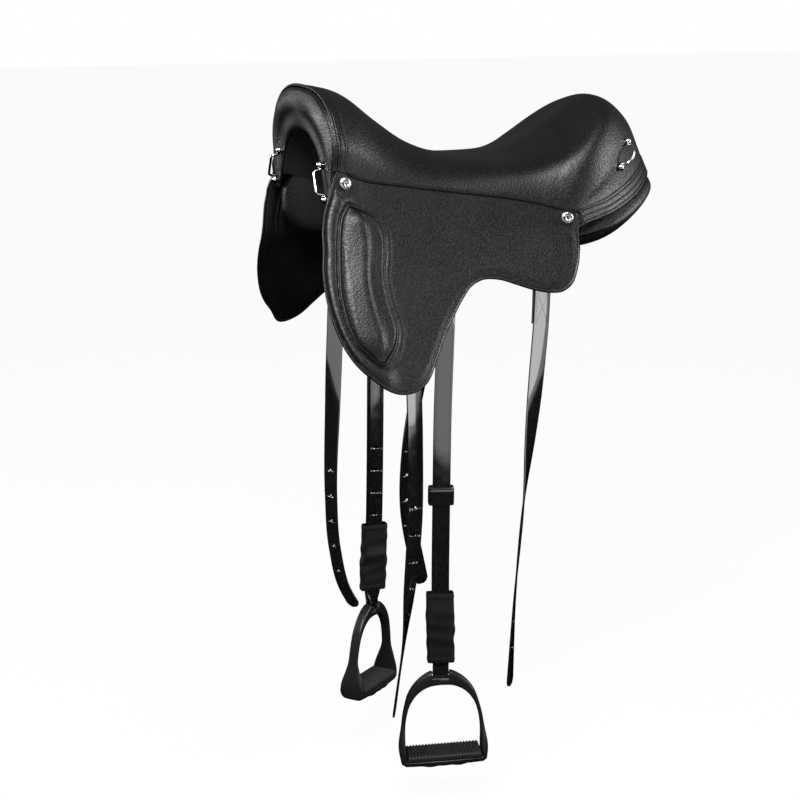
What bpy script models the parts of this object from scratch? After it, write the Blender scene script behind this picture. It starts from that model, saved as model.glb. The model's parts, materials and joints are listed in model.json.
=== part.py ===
"""Endurance saddle, with every physical piece as its own closed solid.

Frame: +X is the saddle's left side, -Y its front and +Z up. The origin lies on the mirror plane,
at the height where a horse's back or a rack carries the two panels. Numbers below are millimetres
and are turned into metres by MM.
"""

import math

import bmesh
import bpy
import numpy as np
from mathutils import Matrix, Vector

MM = 0.001

# General fits
GAP = 0.3
SIDES = {"left": 1.0, "right": -1.0}

# Leather and foam thicknesses
COVER_THICK = 1.8
FOAM_EDGE = 1.6
FOAM_SEAT = 13.0
FOAM_FRONT = (0.0, 60.0)
FOAM_REAR = (90.0, 20.0)
TREE_THICK = 6.0
TREE_BAR_EXTRA = 10.0
BARS_FRONT = (20.0, 120.0)
BARS_REAR = (120.0, 40.0)
STACK_RISE = 6.0
BAND_REACH = 1.2
SKIRT_SET = 1.2
FOAM_CLEAR = 2.0
STACK_GAP = 0.8
TREE_CLEAR = 4.0
FLAP_THICK = 4.4
FLAP_PROUD = 0.5
STRAP_THICK = 3.0

# Seat, drawn by five lines that run from the pommel to the cantle, as a saddler's patterns do.
# Each line has one point for each of the thirteen seat stations.
POMMEL_Y = -177.0
POMMEL_Z = 200.0
SEAT_LOW_Z = 96.0
CANTLE_Y = 268.0
CANTLE_Z = 178.0
BACK_Y = 347.0
CENTRE_LINE = [
    (0, POMMEL_Y, POMMEL_Z), (0, -139, 193), (0, -88, 156), (0, -34, 120), (0, 20, 101),
    (0, 72, SEAT_LOW_Z), (0, 120, 99), (0, 170, 119), (0, 222, 152), (0, CANTLE_Y, CANTLE_Z),
    (0, 306, 155), (0, BACK_Y, 88), (0, 357, 67)]
INNER_LINE = [
    (64, POMMEL_Y, 194), (57, -140, 185), (51, -89, 150), (44, -34, 116), (44, 20, 99),
    (45, 72, 95), (47, 120, 96), (49, 168, 111), (51, 215, 140), (52, 264, 171),
    (54, 298, 148), (52, 332, 83), (54, 342, 61)]
SHOULDER_LINE = [
    (109, POMMEL_Y, 171), (98, -140, 160), (86, -91, 130), (79, -35, 102), (81, 20, 91),
    (84, 72, 90), (88, 119, 91), (92, 163, 102), (97, 202, 124), (101, 239, 147),
    (106, 260, 120), (95, 290, 61), (98, 301, 40)]
SIDE_LINE = [
    (134, POMMEL_Y, 126), (122, -139, 117), (111, -92, 100), (106, -36, 84), (109, 20, 77),
    (114, 72, 75), (119, 117, 76), (124, 153, 84), (129, 178, 94), (135, 198, 99),
    (138, 216, 72), (128, 235, 41), (131, 245, 21)]
SEAM_LINE = [
    (130, POMMEL_Y, 97), (124, -140, 83), (121, -93, 74), (120, -37, 65), (123, 19, 57),
    (128, 70, 50), (134, 113, 42), (139, 137, 36), (142, 152, 32), (144.5, 164, 29.5),
    (146, 174, 27.5), (146.5, 184, 25.5), (149, 190, 7)]
LINE_PLACES = [0.0, 0.27, 0.53, 0.78, 1.0]
HEM_PLACE = 1.16
HEM_DROPS = [22.0] * 10 + [19.0, 14.0, 4.0]
FINE_STATION_STEPS = [2, 2, 2, 2, 2, 2, 2, 3, 3, 3, 2]
FINE_LINE_STEPS = [2, 3, 2, 2]
BINDING_WIDTH = 14.0

# Flap: how it flares away from the seam, and its outline as (y, z)
FLAP_FLARE = 0.60
FLAP_EASE = 100.0
FLAP_TOP_MAX_Z = 84.0
FOLD_FRONT = (-191.0, 55.0)
FOLD_REAR = (180.0, 0.0)
FOLD_GAP = 0.4
FLAP_CURL = {"left": 0.0, "right": 26.0}
CURL_DRAW = 0.5
CURL_FORWARD = (110.0, 205.0)
CURL_DROPS = (-50.0, 40.0)
FLAP_OUTLINE = [
    (-200, 40), (-205, 18), (-207, -4), (-212, -32), (-213, -65), (-208, -100), (-197, -132),
    (-184, -152), (-166, -169), (-148, -183), (-126, -192), (-104, -192), (-83, -183), (-60, -155),
    (-40, -126), (-22, -103), (-4, -82), (12, -67), (29, -60), (53, -61), (78, -69), (102, -77),
    (131, -82), (145, -81), (156, -76), (165, -68), (171, -58), (178, -41), (182, -24)]
FLAP_AXIS_FRONT = (134.9, -191.0, 55.0)

# Knee block on the flap: front and rear borders as (y, z), from its top to its tip
BLOCK_FRONT = [
    (-163, 49), (-174, 33), (-179, 14), (-186, -27), (-190, -62), (-189, -82), (-180, -121), (-153, -151)]
BLOCK_REAR = [
    (-147, 44), (-126, 34), (-111, 10), (-113, -18), (-120, -47), (-118, -84), (-113, -117), (-121, -135),
    (-141, -153)]
BLOCK_RISE = 12.5
BLOCK_GAP = 0.8
BLOCK_CHANNEL = 0.56

# Pommel face: a padded arch before the seat's front edge, as (x, z) from the crown down
FACE_OUTER = [(0, 198.5), (63, 192.5), (107, 170), (131, 126), (126.5, 97), (122, 68), (112, 44)]
FACE_INNER = [(0, 139), (30, 134), (54, 122), (72, 104), (84, 82), (93, 62), (101, 46)]
FACE_BACK_Y = -179.4
FACE_EDGE = 2.4
FACE_CROWN = 6.5
LEG_CROWN_SHARE = 0.4
WELT_RADIUS = 2.2

# Gullet plate and lining, both following the inner arch
LINING_THICK = 2.5
LINING_DROP = 36.0
LINING_REAR_Y = -86.0
LINING_REAR_SCALE = 0.55
PLATE_THICK = 4.0

# Studs: a cup washer and a socket screw at the flap's front and rear corners, as (y, z)
STUD_PLACES = {"front": (-166.0, 79.0), "rear": (163.0, 18.0)}
WASHER_RADIUS = 9.5
WASHER_HEIGHT = 4.0
WASHER_FLOOR = 1.4
SCREW_RADIUS = 3.0
SCREW_HEAD_RADIUS = 5.2
SCREW_HEAD_HEIGHT = 4.6
SCREW_CHAMFER = 0.6
SOCKET_RADIUS = 2.4
SOCKET_DEPTH = 2.4
SCREW_CLEAR = 0.5
SCREW_LENGTH = 15.0

# Footman loops: bent wire with a screwed eye at each end
LOOP_WIRE = 1.8
LOOP_STAND = 12.0
LOOP_SEAT = 0.8
EYE_RADIUS = 5.5
EYE_THICK = 3.8
EYE_BORE = 2.7
LOOP_SCREW_RADIUS = 2.1
LOOP_SCREW_HEAD = 4.2
LOOP_SCREW_LENGTH = 9.0
FRONT_LOOP = {"top": (88.0, 100.0), "low": (108.0, 55.0)}
REAR_LOOP = {"top": (0.32, 0.437), "low": (0.57, 0.594)}

# Stirrup bar, leather and iron
BAR_X = 122.5
BAR_Y = -14.9
HANG_Y = {"left": [-11.0, -11.5, -14.5, -14.5, -13.5, -11.5, -11.5],
          "right": [-21.0, -21.0, -21.0, -21.5, -23.5, -26.0, -26.0]}
HANG_DROPS = [0.0, 100.0, 300.0, 440.0, 560.0, 640.0, 1000.0]
HANG_TURN = {"left": (-16.0, 40.0, 200.0), "right": (42.0, 607.0, 628.0)}
HANG_SLOPE = {"left": -0.287, "right": 0.0}
BAR_Z = -2.0
BAR_RADIUS = 3.1
BAR_HALF_HEIGHT = 4.5
BAR_FRONT = -46.0
BAR_REAR = 6.0
BRACKET_THICK = 3.5
BAR_REACH = 16.7
PIN_BEHIND = 6.0
PIN_RADIUS = 1.6
PIN_CLEAR = 0.06
TANG_HALF = 1.2
CHEEK_GAP = 0.35
CHEEK_OUT = 4.4
BAR_PLATE_TOP = 42.0
BAR_POCKET = [(96.5, -52.0, -10.5), (140.0, 28.0, 60.0)]
LEATHER_WIDTH = 26.0
TAIL_WIDTH = 23.0
PLY_OFFSET = 3.9
LEATHER_END_Z = -586.0
EYE_Z = {"left": -655.0, "right": -632.0}
EYE_BAR_RADIUS = 2.0
EYE_GAP_BELOW = 7.6
EYE_SIDE_CLEAR = 2.0
EYE_TOP = 3.5
IRON_TOP_DEPTH = 7.5
HOLE_RADIUS = 2.2
TAIL_HOLES_Z = [-372, -408, -444, -480, -514]
KEEPER_Z = {"left": -380.0, "right": -215.0}
KEEPER_HEIGHT = 27.0
KEEPER_HALF_SIZES = (18.9, 8.1)
KEEPER_WALL = 2.2
SLEEVE_LENGTH = 108.0
SLEEVE_ABOVE_EYE = {"left": 18.0, "right": 26.0}
SLEEVE_WALL = 2.0
SLEEVE_HALF_SIZES = (20.5, 8.4)
SLEEVE_CORNER = 3.4
IRON_INNER_WIDTH = 114.0
IRON_HEIGHT = 146.0
IRON_BRANCH = 8.0
IRON_END_SHARE = 0.6
IRON_TILT_DEG = {"left": 2.7, "right": -4.0}
IRON_BASE_THICK = 11.0
IRON_BASE_DEPTH = 47.0
TREAD_THICK = 9.0
TREAD_RIBS = 23
TREAD_RIB_HEIGHT = 2.2
TREAD_END_GAP = 2.0
BUCKLE_THICK = 4.0
BUCKLE_HALF_SIZES = (15.0, 12.0)
BUCKLE_WINDOW_HALF_SIZES = (12.0, 8.5)
BUCKLE_ABOVE_END = 14.0

# Girth billets: (x, y) of the hanger, fold, tip height, and the hang of the strap as (z, y, twist)
BILLET_WIDTH = 25.0
BILLET_FOLD_Z = -136.0
HANGER_RADIUS = 2.6
HANGER_SPAN = 36.0
HANGER_LEG = 25.0
BILLET_HOLE_STEP = 41.0
BILLET_POINTS = 19
LEAN_DROPS = (480.0, 680.0)
LEAN_BALANCE = 0.14
LEAN_BALANCE_DROPS = (0.0, 120.0)

FINISHES = {
    "leather": ((0.012, 0.012, 0.013), 0.45, 0.0),
    "patent": ((0.010, 0.010, 0.011), 0.12, 0.0),
    "foam": ((0.08, 0.08, 0.08), 0.90, 0.0),
    "moulding": ((0.03, 0.03, 0.03), 0.55, 0.0),
    "steel": ((0.35, 0.35, 0.36), 0.40, 1.0),
    "chrome": ((0.80, 0.80, 0.82), 0.08, 1.0),
    "black_metal": ((0.015, 0.015, 0.016), 0.38, 0.3),
    "rubber": ((0.012, 0.012, 0.012), 0.75, 0.0),
}


def finish(name):
    """The Principled material of that name, made once."""
    found = bpy.data.materials.get(name)
    if found:
        return found
    colour, roughness, metallic = FINISHES[name]
    made = bpy.data.materials.new(name)
    made.use_nodes = True
    shader = made.node_tree.nodes["Principled BSDF"]
    shader.inputs["Base Color"].default_value = (*colour, 1.0)
    shader.inputs["Roughness"].default_value = roughness
    shader.inputs["Metallic"].default_value = metallic
    return made


def solid(name, points, faces, finish_name):
    """A named object from points in millimetres, with its faces turned outwards."""
    mesh = bpy.data.meshes.new(name)
    metres = np.asarray(points, float).reshape(-1, 3) * MM
    mesh.from_pydata([tuple(p) for p in metres], [], [tuple(int(i) for i in f) for f in faces])
    work = bmesh.new()
    work.from_mesh(mesh)
    bmesh.ops.recalc_face_normals(work, faces=work.faces)
    if work.calc_volume(signed=True) < 0:
        bmesh.ops.reverse_faces(work, faces=work.faces)
    work.to_mesh(mesh)
    work.free()
    mesh.shade_smooth()
    mesh.set_sharp_from_angle(angle=math.radians(40))
    mesh.materials.append(finish(finish_name))
    made = bpy.data.objects.new(name, mesh)
    bpy.context.scene.collection.objects.link(made)
    return made


def put_origin(name, point):
    """Move an object's origin to its joint's axis, with the shape left where it is."""
    item = bpy.data.objects[name]
    start = Vector([float(value) for value in point]) * MM
    item.data.transform(Matrix.Translation(-start))
    item.location = start


def put_joint_origins():
    """Origins of every moving piece, on the axis that it turns or slides about."""
    for label, side in SIDES.items():
        fold = (side * FLAP_AXIS_FRONT[0], FLAP_AXIS_FRONT[1], FLAP_AXIS_FRONT[2])
        bar = (side * BAR_X, BAR_Y, BAR_Z)
        eye_y = float(hang_y(side, EYE_Z[label]))
        eye = (side * BAR_X + hang_shift(side, eye_y), eye_y, EYE_Z[label])
        keeper_y = float(hang_y(side, KEEPER_Z[label]))
        keeper = (side * BAR_X + hang_shift(side, keeper_y), keeper_y, KEEPER_Z[label])
        places = {
            "flap": fold, "knee_block": fold,
            "stirrup_leather": bar, "hole_strap": bar, "stirrup_buckle": bar,
            "leather_keeper": keeper, "leather_sleeve": eye, "stirrup_iron": eye, "stirrup_tread": eye,
            "bar_catch": (side * BAR_X, BAR_REAR + PIN_BEHIND, BAR_Z)}
        for piece, point in places.items():
            put_origin(f"{piece}_{label}", point)
    for label, spec in BILLETS.items():
        put_origin(f"girth_billet_{label}", (spec["side"] * spec["x"], spec["hang"][0][1], spec["top_z"]))


def grid_faces(rows, columns, first=0, closed=False):
    """Quads of a grid numbered row by row; closed joins the last column to the first."""
    faces = []
    last = columns if closed else columns - 1
    for i in range(rows - 1):
        for j in range(last):
            a = first + i * columns + j
            b = first + i * columns + (j + 1) % columns
            faces.append((a, b, b + columns, a + columns))
    return faces


def halved(faces):
    """Each quad cut into two triangles on the same diagonal, so that stacked layers stay parallel."""
    return [half for a, b, c, d in faces for half in ((a, b, c), (a, c, d))]


def slab(outer, inner):
    """A closed sheet between two grids of the same shape."""
    rows, columns = outer.shape[:2]
    count = rows * columns
    faces = halved(grid_faces(rows, columns))
    faces += [tuple(reversed(f)) for f in halved(grid_faces(rows, columns, count))]
    rim = [j for j in range(columns)]
    rim += [i * columns + columns - 1 for i in range(1, rows)]
    rim += [(rows - 1) * columns + j for j in range(columns - 2, -1, -1)]
    rim += [i * columns for i in range(rows - 2, 0, -1)]
    for a, b in zip(rim, rim[1:] + rim[:1]):
        faces.append((b, a, a + count, b + count))
    return np.concatenate([outer.reshape(-1, 3), inner.reshape(-1, 3)]), faces


def tube(rings):
    """A closed body through rings of points, with a flat cap on each end."""
    rows, columns = rings.shape[:2]
    faces = grid_faces(rows, columns, closed=True)
    faces.append(tuple(range(columns)))
    faces.append(tuple(reversed(range((rows - 1) * columns, rows * columns))))
    return rings.reshape(-1, 3), faces


def hollow_tube(outer, inner):
    """A tube with a bore: two sets of rings joined at both ends."""
    rows, columns = outer.shape[:2]
    count = rows * columns
    faces = grid_faces(rows, columns, closed=True)
    faces += [tuple(reversed(f)) for f in grid_faces(rows, columns, count, closed=True)]
    for start in (0, (rows - 1) * columns):
        for j in range(columns):
            a = start + j
            b = start + (j + 1) % columns
            faces.append((a, b, b + count, a + count))
    return np.concatenate([outer.reshape(-1, 3), inner.reshape(-1, 3)]), faces


def calm_slopes(knots, values):
    """Slopes at the knots, held down so that the curve never swings past its own points."""
    slopes = np.gradient(values, knots, axis=0)
    steps = np.diff(values, axis=0) / np.diff(knots).reshape((-1,) + (1,) * (values.ndim - 1))
    before = np.concatenate([steps[:1], steps])
    after = np.concatenate([steps, steps[-1:]])
    limit = 2.5 * np.minimum(np.abs(before), np.abs(after))
    return np.where(before * after <= 0, 0, np.clip(slopes, -limit, limit))


def through(knots, values, where, calm=False):
    """Cubic through the values at the knots, each slope taken from the neighbouring knots."""
    knots = np.asarray(knots, float)
    values = np.asarray(values, float)
    where = np.asarray(where, float)
    slopes = calm_slopes(knots, values) if calm else np.gradient(values, knots, axis=0)
    place = np.clip(np.searchsorted(knots, where, side="right") - 1, 0, len(knots) - 2)
    shape = (-1,) + (1,) * (values.ndim - 1)
    width = (knots[place + 1] - knots[place]).reshape(shape)
    f = (where - knots[place]).reshape(shape) / width
    start = (1 + 2 * f) * (1 - f) ** 2 * values[place] + f * (1 - f) ** 2 * slopes[place] * width
    end = f ** 2 * (3 - 2 * f) * values[place + 1] + f ** 2 * (f - 1) * slopes[place + 1] * width
    return start + end


def along(points, count):
    """Evenly spaced points on the smooth curve through the given points."""
    points = np.asarray(points, float)
    steps = np.linalg.norm(np.diff(points, axis=0), axis=1)
    knots = np.concatenate([[0], np.cumsum(steps)])
    dense = through(knots, points, np.linspace(0, knots[-1], 400))
    run = np.concatenate([[0], np.cumsum(np.linalg.norm(np.diff(dense, axis=0), axis=1))])
    even = np.linspace(0, run[-1], count)
    return np.stack([np.interp(even, run, dense[:, k]) for k in range(points.shape[1])], axis=1)


def smooth_step(value, low, high):
    """0 below low, 1 above high, and a smooth rise between."""
    f = np.clip((value - low) / (high - low), 0, 1)
    return f * f * (3 - 2 * f)


def flare(drop):
    """How far the flap stands out at this drop below the seam: upright at first, then straight."""
    drop = np.maximum(drop, 0)
    return FLAP_FLARE * drop ** 2 / (drop + FLAP_EASE)


def seat_net():
    """The seat's control points by station and line, mirrored, with a hem below the seam."""
    lines = np.array([CENTRE_LINE, INNER_LINE, SHOULDER_LINE, SIDE_LINE, SEAM_LINE], float)
    drops = np.array(HEM_DROPS)
    hem = lines[-1] + np.stack([flare(drops), np.zeros(len(drops)), -drops], axis=1)
    left = np.concatenate([lines, hem[None]])
    right = left[:0:-1] * np.array([-1, 1, 1])
    return np.concatenate([right, left]).transpose(1, 0, 2)


SEAT_NET = seat_net()
HALF_PLACES = LINE_PLACES + [HEM_PLACE]
NET_PLACES = np.array([-p for p in HALF_PLACES[:0:-1]] + HALF_PLACES)
STATIONS = np.concatenate([[0], np.cumsum(np.linalg.norm(np.diff(CENTRE_LINE, axis=0), axis=1))])
BACK_SEAM = STATIONS[-2]
BAND_END = STATIONS[-1]


def seat_points(stations, places):
    """Points of the seat's outer face for each station and each place across."""
    by_station = through(STATIONS, SEAT_NET, stations, calm=True)
    return through(NET_PLACES, by_station.transpose(1, 0, 2), places, calm=True).transpose(1, 0, 2)


def exact_normal(station, place):
    """Unit normal of the seat's outer face at one spot, from small steps along and across."""
    stations = np.array([station - 0.5, station + 0.5])
    places = np.array([place - 0.01, place + 0.01])
    patch = seat_points(stations, places)
    run = patch[1].sum(axis=0) - patch[0].sum(axis=0)
    turn = patch[:, 1].sum(axis=0) - patch[:, 0].sum(axis=0)
    normal = np.cross(turn, run)
    return normal / np.linalg.norm(normal)


def net_normals():
    """Normals at the control points, taken over wide steps and smoothed from station to station."""
    step = 9.0
    run = seat_points(STATIONS + step, NET_PLACES) - seat_points(STATIONS - step, NET_PLACES)
    small = 0.08
    turn = seat_points(STATIONS, NET_PLACES + small) - seat_points(STATIONS, NET_PLACES - small)
    normal = np.cross(turn, run)
    normal = normal / np.linalg.norm(normal, axis=2, keepdims=True)
    ends = np.concatenate([normal[:1], normal, normal[-1:]])
    normal = (ends[:-2] + 2 * ends[1:-1] + ends[2:]) / 4
    return normal / np.linalg.norm(normal, axis=2, keepdims=True)


NET_NORMALS = net_normals()


def seat_normals(stations, places):
    """Directions square to the seat's outer face, drawn through those of the control points."""
    by_station = through(STATIONS, NET_NORMALS, stations)
    normal = through(NET_PLACES, by_station.transpose(1, 0, 2), places).transpose(1, 0, 2)
    return normal / np.linalg.norm(normal, axis=2, keepdims=True)


def seat_layer(stations, places, out, inside):
    """A closed layer of the seat between two depths under its outer face."""
    points = seat_points(stations, places)
    normals = seat_normals(stations, places)
    upper = points - normals * np.broadcast_to(out, points.shape[:2])[..., None]
    lower = points - normals * np.broadcast_to(inside, points.shape[:2])[..., None]
    return slab(upper, lower)


def subdivided(knots, counts):
    """Knots with the given number of even steps between each pair."""
    parts = [np.linspace(a, b, n, endpoint=False) for a, b, n in zip(knots, knots[1:], counts)]
    return np.concatenate(parts + [[knots[len(counts)]]])


def mirrored(half):
    """Places on both sides of the centre from the places on one side."""
    return np.concatenate([-half[:0:-1], half])


FINE_STATIONS = subdivided(STATIONS, FINE_STATION_STEPS)
FINE_PLACES = mirrored(subdivided(np.array(LINE_PLACES), FINE_LINE_STEPS))


def foam_depth(stations, places):
    """Thickness of the foam: full in the seat, thin at its edges."""
    across = 1 - smooth_step(np.abs(places), 0.45, 0.9)
    behind = smooth_step(stations, BACK_SEAM - FOAM_REAR[0], BACK_SEAM - FOAM_REAR[1])
    lengthwise = smooth_step(stations, *FOAM_FRONT) * (1 - behind)
    return FOAM_EDGE + (FOAM_SEAT - FOAM_EDGE) * np.outer(lengthwise, across)


def foam_top(stations):
    """Depth of the foam's upper face, deeper behind the cantle's ridge."""
    return COVER_THICK + FOAM_CLEAR + 1.6 * smooth_step(stations, STATIONS[9] - 10, STATIONS[9] + 25)


def tree_top(stations, places):
    """Depth of the tree's upper face, which lies under the foam."""
    skirt = SKIRT_SET * smooth_step(np.abs(places), 0.93, 1.04)
    return foam_top(stations)[:, None] + foam_depth(stations, places) + TREE_CLEAR + skirt


def tree_bottom(stations, places):
    """Depth of the tree's under face, thicker along its two bars."""
    bars = 1 - smooth_step(np.abs(places), 0.5, 0.85)
    behind = smooth_step(stations, BACK_SEAM - BARS_REAR[0], BACK_SEAM - BARS_REAR[1])
    middle = smooth_step(stations, *BARS_FRONT) * (1 - behind)
    return tree_top(stations, places) + TREE_THICK + TREE_BAR_EXTRA * np.outer(middle, bars)


def cut(target, cutter):
    """Take the cutter's shape out of the target."""
    cutter.hide_render = True
    cutter.display_type = "WIRE"
    modifier = target.modifiers.new("cut_" + cutter.name, "BOOLEAN")
    modifier.operation = "DIFFERENCE"
    modifier.solver = "EXACT"
    modifier.object = cutter


def fuse(target, added):
    """Join the added shape to the target as one body."""
    added.hide_render = True
    added.display_type = "WIRE"
    modifier = target.modifiers.new("fuse_" + added.name, "BOOLEAN")
    modifier.operation = "UNION"
    modifier.solver = "EXACT"
    modifier.object = added


def axis_frame(axis):
    """Two unit vectors square to the axis, and the axis itself."""
    axis = np.asarray(axis, float) / np.linalg.norm(axis)
    aside = np.cross(axis, [0.0, 0.0, 1.0])
    if np.linalg.norm(aside) < 0.05:
        aside = np.cross(axis, [0.0, 1.0, 0.0])
    aside = aside / np.linalg.norm(aside)
    return aside, np.cross(axis, aside), axis


def turned(name, base, axis, profile, finish_name, sides=20):
    """A turned piece from its (radius, height) profile, on an axis from its base point."""
    aside, other, axis = axis_frame(axis)
    angles = np.linspace(0, 2 * math.pi, sides, endpoint=False)
    circle = np.cos(angles)[:, None] * aside + np.sin(angles)[:, None] * other
    rings = np.array([np.asarray(base) + axis * height + circle * radius for radius, height in profile])
    return solid(name, *tube(rings), finish_name)


def rod(name, start, end, radius, finish_name="steel", sides=12):
    """A plain round rod between two points."""
    start = np.asarray(start, float)
    run = np.asarray(end, float) - start
    length = float(np.linalg.norm(run))
    return turned(name, start, run, [(radius, 0), (radius, length)], finish_name, sides)


def strap(name, spine, face, width, thick, finish_name):
    """A flat strap along a spine; face is the direction of its broad side at each point."""
    spine = np.asarray(spine, float)
    face = np.broadcast_to(np.asarray(face, float), spine.shape)
    width = np.broadcast_to(width, len(spine))[:, None]
    run = np.gradient(spine, axis=0)
    run = run / np.linalg.norm(run, axis=1, keepdims=True)
    across = np.cross(run, face)
    across = across / np.linalg.norm(across, axis=1, keepdims=True)
    face = np.cross(across, run)
    corners = [(-1, -1), (1, -1), (1, 1), (-1, 1)]
    rings = [spine + across * width * 0.5 * a + face * thick * 0.5 * b for a, b in corners]
    return solid(name, *tube(np.stack(rings, axis=1)), finish_name)


def box(name, low, high, finish_name, turn=0.0, about=(0, 0, 0)):
    """A block between two corners, turned by an angle about a vertical line."""
    corners = np.array([[(high if (k >> a) & 1 else low)[a] for a in range(3)] for k in range(8)], float)
    cosine = math.cos(turn)
    sine = math.sin(turn)
    corners = corners - np.asarray(about)
    corners = corners @ np.array([[cosine, sine, 0], [-sine, cosine, 0], [0, 0, 1]]) + np.asarray(about)
    faces = [(0, 2, 3, 1), (4, 5, 7, 6), (0, 1, 5, 4), (2, 6, 7, 3), (0, 4, 6, 2), (1, 3, 7, 5)]
    return solid(name, corners, faces, finish_name)


def mirror_side(points, side):
    """The points on the chosen side of the mirror plane."""
    return np.asarray(points, float) * np.array([side, 1, 1])


def make_seat():
    """Cover, foam and tree: three layers of the same curved seat."""
    start = np.array([BINDING_WIDTH + GAP])
    inside = FINE_STATIONS[FINE_STATIONS > start[0] + 3]
    stations = np.concatenate([start, inside[inside <= BACK_SEAM]])
    cover = solid("seat_cover", *seat_layer(stations, FINE_PLACES, 0, COVER_THICK), "leather")

    foam_stations = np.linspace(BINDING_WIDTH + 3, BACK_SEAM - 6, 26)
    foam_places = mirrored(np.array([0, 0.2, 0.4, 0.6, 0.78, 0.94]))
    depth = foam_depth(foam_stations, foam_places)
    top = foam_top(foam_stations)[:, None]
    foam = solid("seat_foam", *seat_layer(foam_stations, foam_places, top, top + depth), "foam")

    tree_stations = np.concatenate([[4, BINDING_WIDTH + 3], foam_stations[3:-1:2], [BACK_SEAM - 3]])
    tree_places = mirrored(np.append(foam_places[5:], [1.03, HEM_PLACE]))
    upper = tree_top(tree_stations, tree_places)
    lower = tree_bottom(tree_stations, tree_places)
    tree = solid("tree", *seat_layer(tree_stations, tree_places, upper, lower), "moulding")
    band_stations = np.array([BACK_SEAM + 2, BAND_END + BAND_REACH])
    wide_stations = np.concatenate([tree_stations, band_stations])
    band_depth = np.full((2, len(tree_places)), COVER_THICK)
    under = np.concatenate([lower, band_depth]) + STACK_GAP
    cutter = seat_layer(wide_stations, tree_places, -STACK_RISE, under)
    stack = solid("tree_stack", *cutter, "moulding")
    plate_places = tree_places[np.abs(tree_places) < 1]
    make_gullet_plate(tree_stations[1:3], plate_places)
    return cover, foam, tree, stack


def make_bindings():
    """The stitched bands on the pommel's front edge and under the cantle, and the pommel welt."""
    places = FINE_PLACES
    stations = np.linspace(0.5, BINDING_WIDTH, 3)
    solid("pommel_binding", *seat_layer(stations, places, -0.6, COVER_THICK), "leather")
    stations = np.linspace(BACK_SEAM + GAP, BAND_END, 3)
    solid("cantle_binding", *seat_layer(stations, FINE_PLACES, -0.8, COVER_THICK), "leather")

    arch = seat_points(np.array([0.0]), mirrored(np.linspace(0, 1, 15)))[0]
    centre = arch * np.array([0.988, 1, 0.995]) + np.array([0, -WELT_RADIUS - 0.2, 0.4])
    angles = np.linspace(0, 2 * math.pi, 6, endpoint=False)
    run = np.gradient(centre, axis=0)
    run = run / np.linalg.norm(run, axis=1, keepdims=True)
    front = np.array([0.0, 1.0, 0.0])
    side = np.cross(run, front)
    rings = centre[:, None] + WELT_RADIUS * (np.cos(angles)[:, None] * front
                                             + np.sin(angles)[:, None] * side[:, None])
    solid("pommel_welt", *tube(rings), "leather")


def arch_curve(points, count):
    """A pommel arch curve from right to left through the (x, z) points of its left half."""
    half = along(points, count)
    return np.concatenate([half[:0:-1] * np.array([-1, 1]), half])


def make_pommel():
    """Padded front face, lining under the arch, and the steel gullet plate."""
    outer = arch_curve(FACE_OUTER, 11)
    inner = arch_curve(FACE_INNER, 11)
    across = np.array([0.05, 0.14, 0.28, 0.45, 0.62, 0.78, 0.9, 0.97])
    shape = np.sin(math.pi * np.linspace(0, 1, len(across))) ** 0.6
    ends = smooth_step(1 - np.abs(np.linspace(-1, 1, len(outer))), -0.02, 0.1)
    flat = outer[:, None] * (1 - across)[:, None] + inner[:, None] * across[:, None]
    legs = 1 - (1 - LEG_CROWN_SHARE) * smooth_step(np.abs(np.linspace(-1, 1, len(outer))), 0.34, 0.6)
    lift = FACE_EDGE + FACE_CROWN * np.outer(ends * legs, shape)
    front = np.stack([flat[..., 0], FACE_BACK_Y - lift, flat[..., 1]], axis=2)
    back = np.stack([flat[..., 0], np.full(flat.shape[:2], FACE_BACK_Y), flat[..., 1]], axis=2)
    face = solid("pommel_face", *slab(front, back), "leather")

    depth = np.linspace(FACE_BACK_Y + GAP, LINING_REAR_Y, 6)
    narrow = 1 - (1 - LINING_REAR_SCALE) * smooth_step(depth, depth[0], depth[-1])
    sheet = arch_curve(FACE_INNER[:6], 9)
    lift = LINING_DROP * smooth_step(depth, depth[0], depth[-1])
    inner_sheet = np.stack([
        narrow[:, None] * sheet[:, 0],
        np.broadcast_to(depth[:, None], (len(depth), len(sheet))),
        sheet[:, 1] - lift[:, None]], axis=2)
    thicker = (sheet + LINING_THICK * arch_normals(sheet))
    outer_sheet = np.stack([
        narrow[:, None] * thicker[:, 0],
        np.broadcast_to(depth[:, None], (len(depth), len(sheet))),
        thicker[:, 1] - lift[:, None]], axis=2)
    solid("gullet_lining", *slab(outer_sheet, inner_sheet), "leather")
    wider = outer_sheet + (outer_sheet - inner_sheet) * STACK_GAP / LINING_THICK
    first = wider[:, :1] + (wider[:, :1] - wider[:, 1:2]) * 0.4
    last = wider[:, -1:] + (wider[:, -1:] - wider[:, -2:-1]) * 0.4
    wider = np.concatenate([first, wider, last], axis=1)
    wider = np.concatenate([wider, wider[-1:] + (wider[-1:] - wider[-2:-1]) * 0.09])
    core = wider * np.array([0.2, 1, 1]) - np.array([0, 0, 30.0])
    clear = solid("gullet_clear", *slab(wider, core), "leather")
    return face, clear


def arch_normals(curve):
    """Unit normals of an arch curve, pointing away from the opening."""
    run = np.gradient(curve, axis=0)
    normal = np.stack([-run[:, 1], run[:, 0]], axis=1)
    return normal / np.linalg.norm(normal, axis=1, keepdims=True)


def make_gullet_plate(stations, places):
    """The steel arch under the front of the tree, bent to the tree's under face."""
    under = tree_bottom(stations, places) + STACK_GAP
    solid("gullet_plate", *seat_layer(stations, places, under, under + PLATE_THICK), "steel")


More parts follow.
